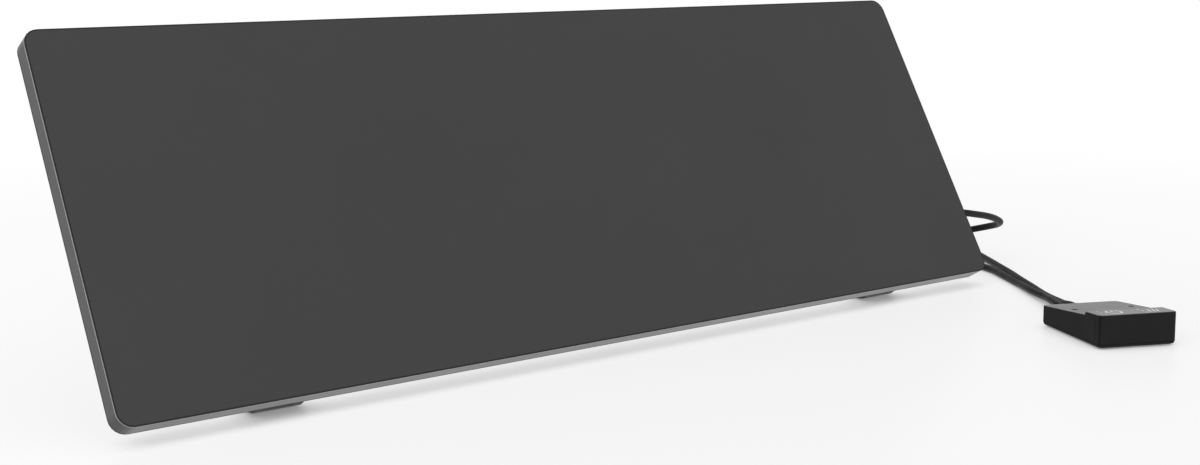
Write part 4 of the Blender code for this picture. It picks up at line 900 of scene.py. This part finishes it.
RING_CENTRE = (0.0213, 0.0142)
RING_RADIUS = 0.0066
RING_ARC = (math.radians(120), math.radians(420))
RING_STROKE_SHARES = (0.2, 1.15)
RING_LINE = 0.0019
DOT_COLUMNS = ((0.0090, 0.0008), (0.0475, 0.0011))
DOT_ROWS = (0.0055, 0.0130, 0.0205)
WAVES = (
    ((0.0520, 0.0060), (0.0540, 0.0175)),
    ((0.0560, 0.0060), (0.0582, 0.0180)),
    ((0.0596, 0.0060), (0.0618, 0.0170)),
)
WAVE_SWING = 0.0005
WAVE_LINE = 0.0013
MARK_THICK = 0.00006
MARK_LEVEL = -0.00002


def lip_matrix():
    """Frame of the lip's top: X along the front edge, Y back down the slight slope, Z out of it."""
    tilt = Matrix.Rotation(-math.atan(LIP_SLOPE), 4, "X")
    return box_matrix() @ Matrix.Translation((0, 0, BOX_FRONT)) @ tilt


def flat_stroke(bm, points, width):
    """A printed stroke of even width along a run of points."""
    low = MARK_LEVEL
    high = MARK_LEVEL + MARK_THICK
    rings = []
    for index, point in enumerate(points):
        before = points[max(index - 1, 0)]
        after = points[min(index + 1, len(points) - 1)]
        along = (after - before).normalized()
        across = Vector((-along.y, along.x)) * width / 2
        right = point - across
        left = point + across
        corners = ((right, low), (right, high), (left, high), (left, low))
        rings.append([bm.verts.new((*flat, height)) for flat, height in corners])
    for before, after in zip(rings, rings[1:]):
        for index in range(4):
            other = (index + 1) % 4
            bm.faces.new((before[index], before[other], after[other], after[index]))
    bm.faces.new(rings[0])
    bm.faces.new(rings[-1][::-1])


def arc_points(centre, radius, first, last, steps):
    points = []
    for step in range(steps + 1):
        angle = first + (last - first) * step / steps
        points.append(Vector((centre[0] + radius * math.cos(angle), centre[1] + radius * math.sin(angle))))
    return points


def wave_points(start, end, swing, steps=16):
    """Points of an S-shaped stroke between two ends."""
    start = Vector(start)
    end = Vector(end)
    along = (end - start).normalized()
    across = Vector((-along.y, along.x))
    shares = [step / steps for step in range(steps + 1)]
    return [start.lerp(end, share) + across * swing * math.sin(math.tau * share) for share in shares]


def touch_marks(material):
    """A power ring with its stroke, two columns of dots and three heat waves, printed on the lip."""
    bm = bmesh.new()
    flat_stroke(bm, arc_points(RING_CENTRE, RING_RADIUS, *RING_ARC, 48), RING_LINE)
    middle = Vector(RING_CENTRE)
    stroke = [middle + Vector((0, RING_RADIUS * share)) for share in RING_STROKE_SHARES]
    flat_stroke(bm, stroke, RING_LINE)
    for x, radius in DOT_COLUMNS:
        for y in DOT_ROWS:
            disc = arc_points((x, y), radius / 2, 0.0, math.tau * 0.999, 16)
            flat_stroke(bm, disc, radius)
    for start, end in WAVES:
        flat_stroke(bm, wave_points(start, end, WAVE_SWING), WAVE_LINE)
    add_piece("touch_marks", bm, material, lip_matrix(), smooth=30)


# cord straps

STRAP_THICK = 0.0012
STRAP_ROUND = 0.0042


def strap(name, node, material):
    """A soft strap round a coil: a closed band with rounded corners and softened edges."""
    low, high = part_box(node)
    centre = (low + high) / 2
    size = high - low
    half = size.y / 2
    bm = bmesh.new()
    rings = []
    shares = ((0.0, -1.0), (0.6, -1.0), (1.0, -0.86), (1.0, 0.86), (0.6, 1.0), (0.0, 1.0))
    for grow, along in shares:
        outline = rounded_outline(size.x, size.z, STRAP_ROUND, STRAP_THICK * (1 - grow))
        rings.append([(u, along * half, v) for u, v in outline])
    made = [[bm.verts.new(point) for point in ring] for ring in rings]
    count = len(made[0])
    for before, after in zip(made, made[1:] + made[:1]):
        for index in range(count):
            other = (index + 1) % count
            bm.faces.new((before[index], before[other], after[other], after[index]))
    piece = add_piece(name, bm, material, Matrix.Translation(centre), smooth=60)
    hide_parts(node)
    return piece


def rounded_outline(width, height, radius, inset, steps=6):
    points = []
    turn = radius - inset
    for quarter in range(4):
        side_x = 1 if quarter in (0, 3) else -1
        side_y = 1 if quarter < 2 else -1
        middle = (side_x * (width / 2 - inset - turn), side_y * (height / 2 - inset - turn))
        for step in range(steps + 1):
            angle = math.radians(90) * (quarter + step / steps)
            points.append((middle[0] + turn * math.cos(angle), middle[1] + turn * math.sin(angle)))
    return points


# studio


def add_floor():
    """A wide pale floor that keeps the shadows and turns pure white away from the part."""
    mesh = bpy.data.meshes.new("floor")
    bm = bmesh.new()
    bmesh.ops.create_grid(bm, x_segments=2, y_segments=2, size=FLOOR_HALF)
    bm.to_mesh(mesh)
    bm.free()
    finish = Finish("studio_floor", 0.28, specular=0.25)
    finish.shader.inputs["Base Color"].default_value = FLOOR_COLOUR
    finish.roughness(finish.remap(finish.noise(3.0, 2.0), 0.3, 0.7, 0.26, 0.32))
    white = finish.add("ShaderNodeEmission")
    white.inputs["Color"].default_value = WHITE
    path = finish.add("ShaderNodeLightPath")
    far = finish.remap(finish.vector("LENGTH", finish.place), FLOOR_NEAR, FLOOR_FAR, FLOOR_WHITE, 1.0)
    contact = finish.add("ShaderNodeAmbientOcclusion", samples=8)
    contact.inputs["Distance"].default_value = CONTACT_REACH
    open_share = finish.remap(contact.outputs["AO"], *CONTACT_BAND, CONTACT_WHITE, 1.0)
    seen = finish.combine(finish.combine(far, open_share), path.outputs["Is Camera Ray"])
    mirrored = finish.combine(path.outputs["Is Glossy Ray"], FLOOR_MIRRORED)
    blend = finish.add("ShaderNodeMixShader")
    finish.wire(finish.combine(seen, mirrored, "MAXIMUM"), blend.inputs["Fac"])
    finish.wire(finish.shader.outputs["BSDF"], blend.inputs[1])
    finish.wire(white.outputs["Emission"], blend.inputs[2])
    output = finish.tree.nodes["Material Output"]
    finish.wire(blend.outputs["Shader"], output.inputs["Surface"])
    mesh.materials.append(finish.material)
    floor = link("floor", mesh)


def add_area(name, place, target, size, power):
    data = bpy.data.lights.new(name, "AREA")
    data.shape = "RECTANGLE"
    data.size, data.size_y = size
    data.energy = power
    light = link(name, data)
    light.location = place
    aim = Vector(target) - Vector(place)
    light.rotation_euler = aim.to_track_quat("-Z", "Y").to_euler()


def add_world():
    """Even soft light from all round, and white where the camera sees past the floor."""
    world = bpy.data.worlds.new("studio")
    bpy.context.scene.world = world
    world.use_nodes = True
    tree = world.node_tree
    tree.nodes.clear()
    soft = tree.nodes.new("ShaderNodeBackground")
    soft.inputs["Color"].default_value = AROUND_COLOUR
    soft.inputs["Strength"].default_value = 1.0
    white = tree.nodes.new("ShaderNodeBackground")
    white.inputs["Color"].default_value = WHITE
    white.inputs["Strength"].default_value = 1.0
    path = tree.nodes.new("ShaderNodeLightPath")
    blend = tree.nodes.new("ShaderNodeMixShader")
    output = tree.nodes.new("ShaderNodeOutputWorld")
    tree.links.new(path.outputs["Is Camera Ray"], blend.inputs["Fac"])
    tree.links.new(soft.outputs["Background"], blend.inputs[1])
    tree.links.new(white.outputs["Background"], blend.inputs[2])
    tree.links.new(blend.outputs["Shader"], output.inputs["Surface"])


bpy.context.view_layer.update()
bpy.context.scene.view_settings.view_transform = "Standard"
add_camera()
MATERIALS = make_materials()
STRAP = strap_weave()
PANEL_STRAP = strap("panel_coil_strap", "panel_coil_tie", STRAP)
MAINS_STRAP = strap("mains_coil_strap", "mains_coil_tie", STRAP)
CORD, EXIT, LENGTH = panel_lead(MATERIALS["cord_black"])
CORD, EXIT, LENGTH = mains_lead(MATERIALS["cord_black"])
dress_nodes(MATERIALS)
fasteners(MATERIALS["pin_steel"])
touch_marks(printed_ink())
add_floor()
add_world()
add_area("left_softbox", SOFTBOX_PLACE, SOFTBOX_TARGET, SOFTBOX_SIZE, SOFTBOX_POWER)
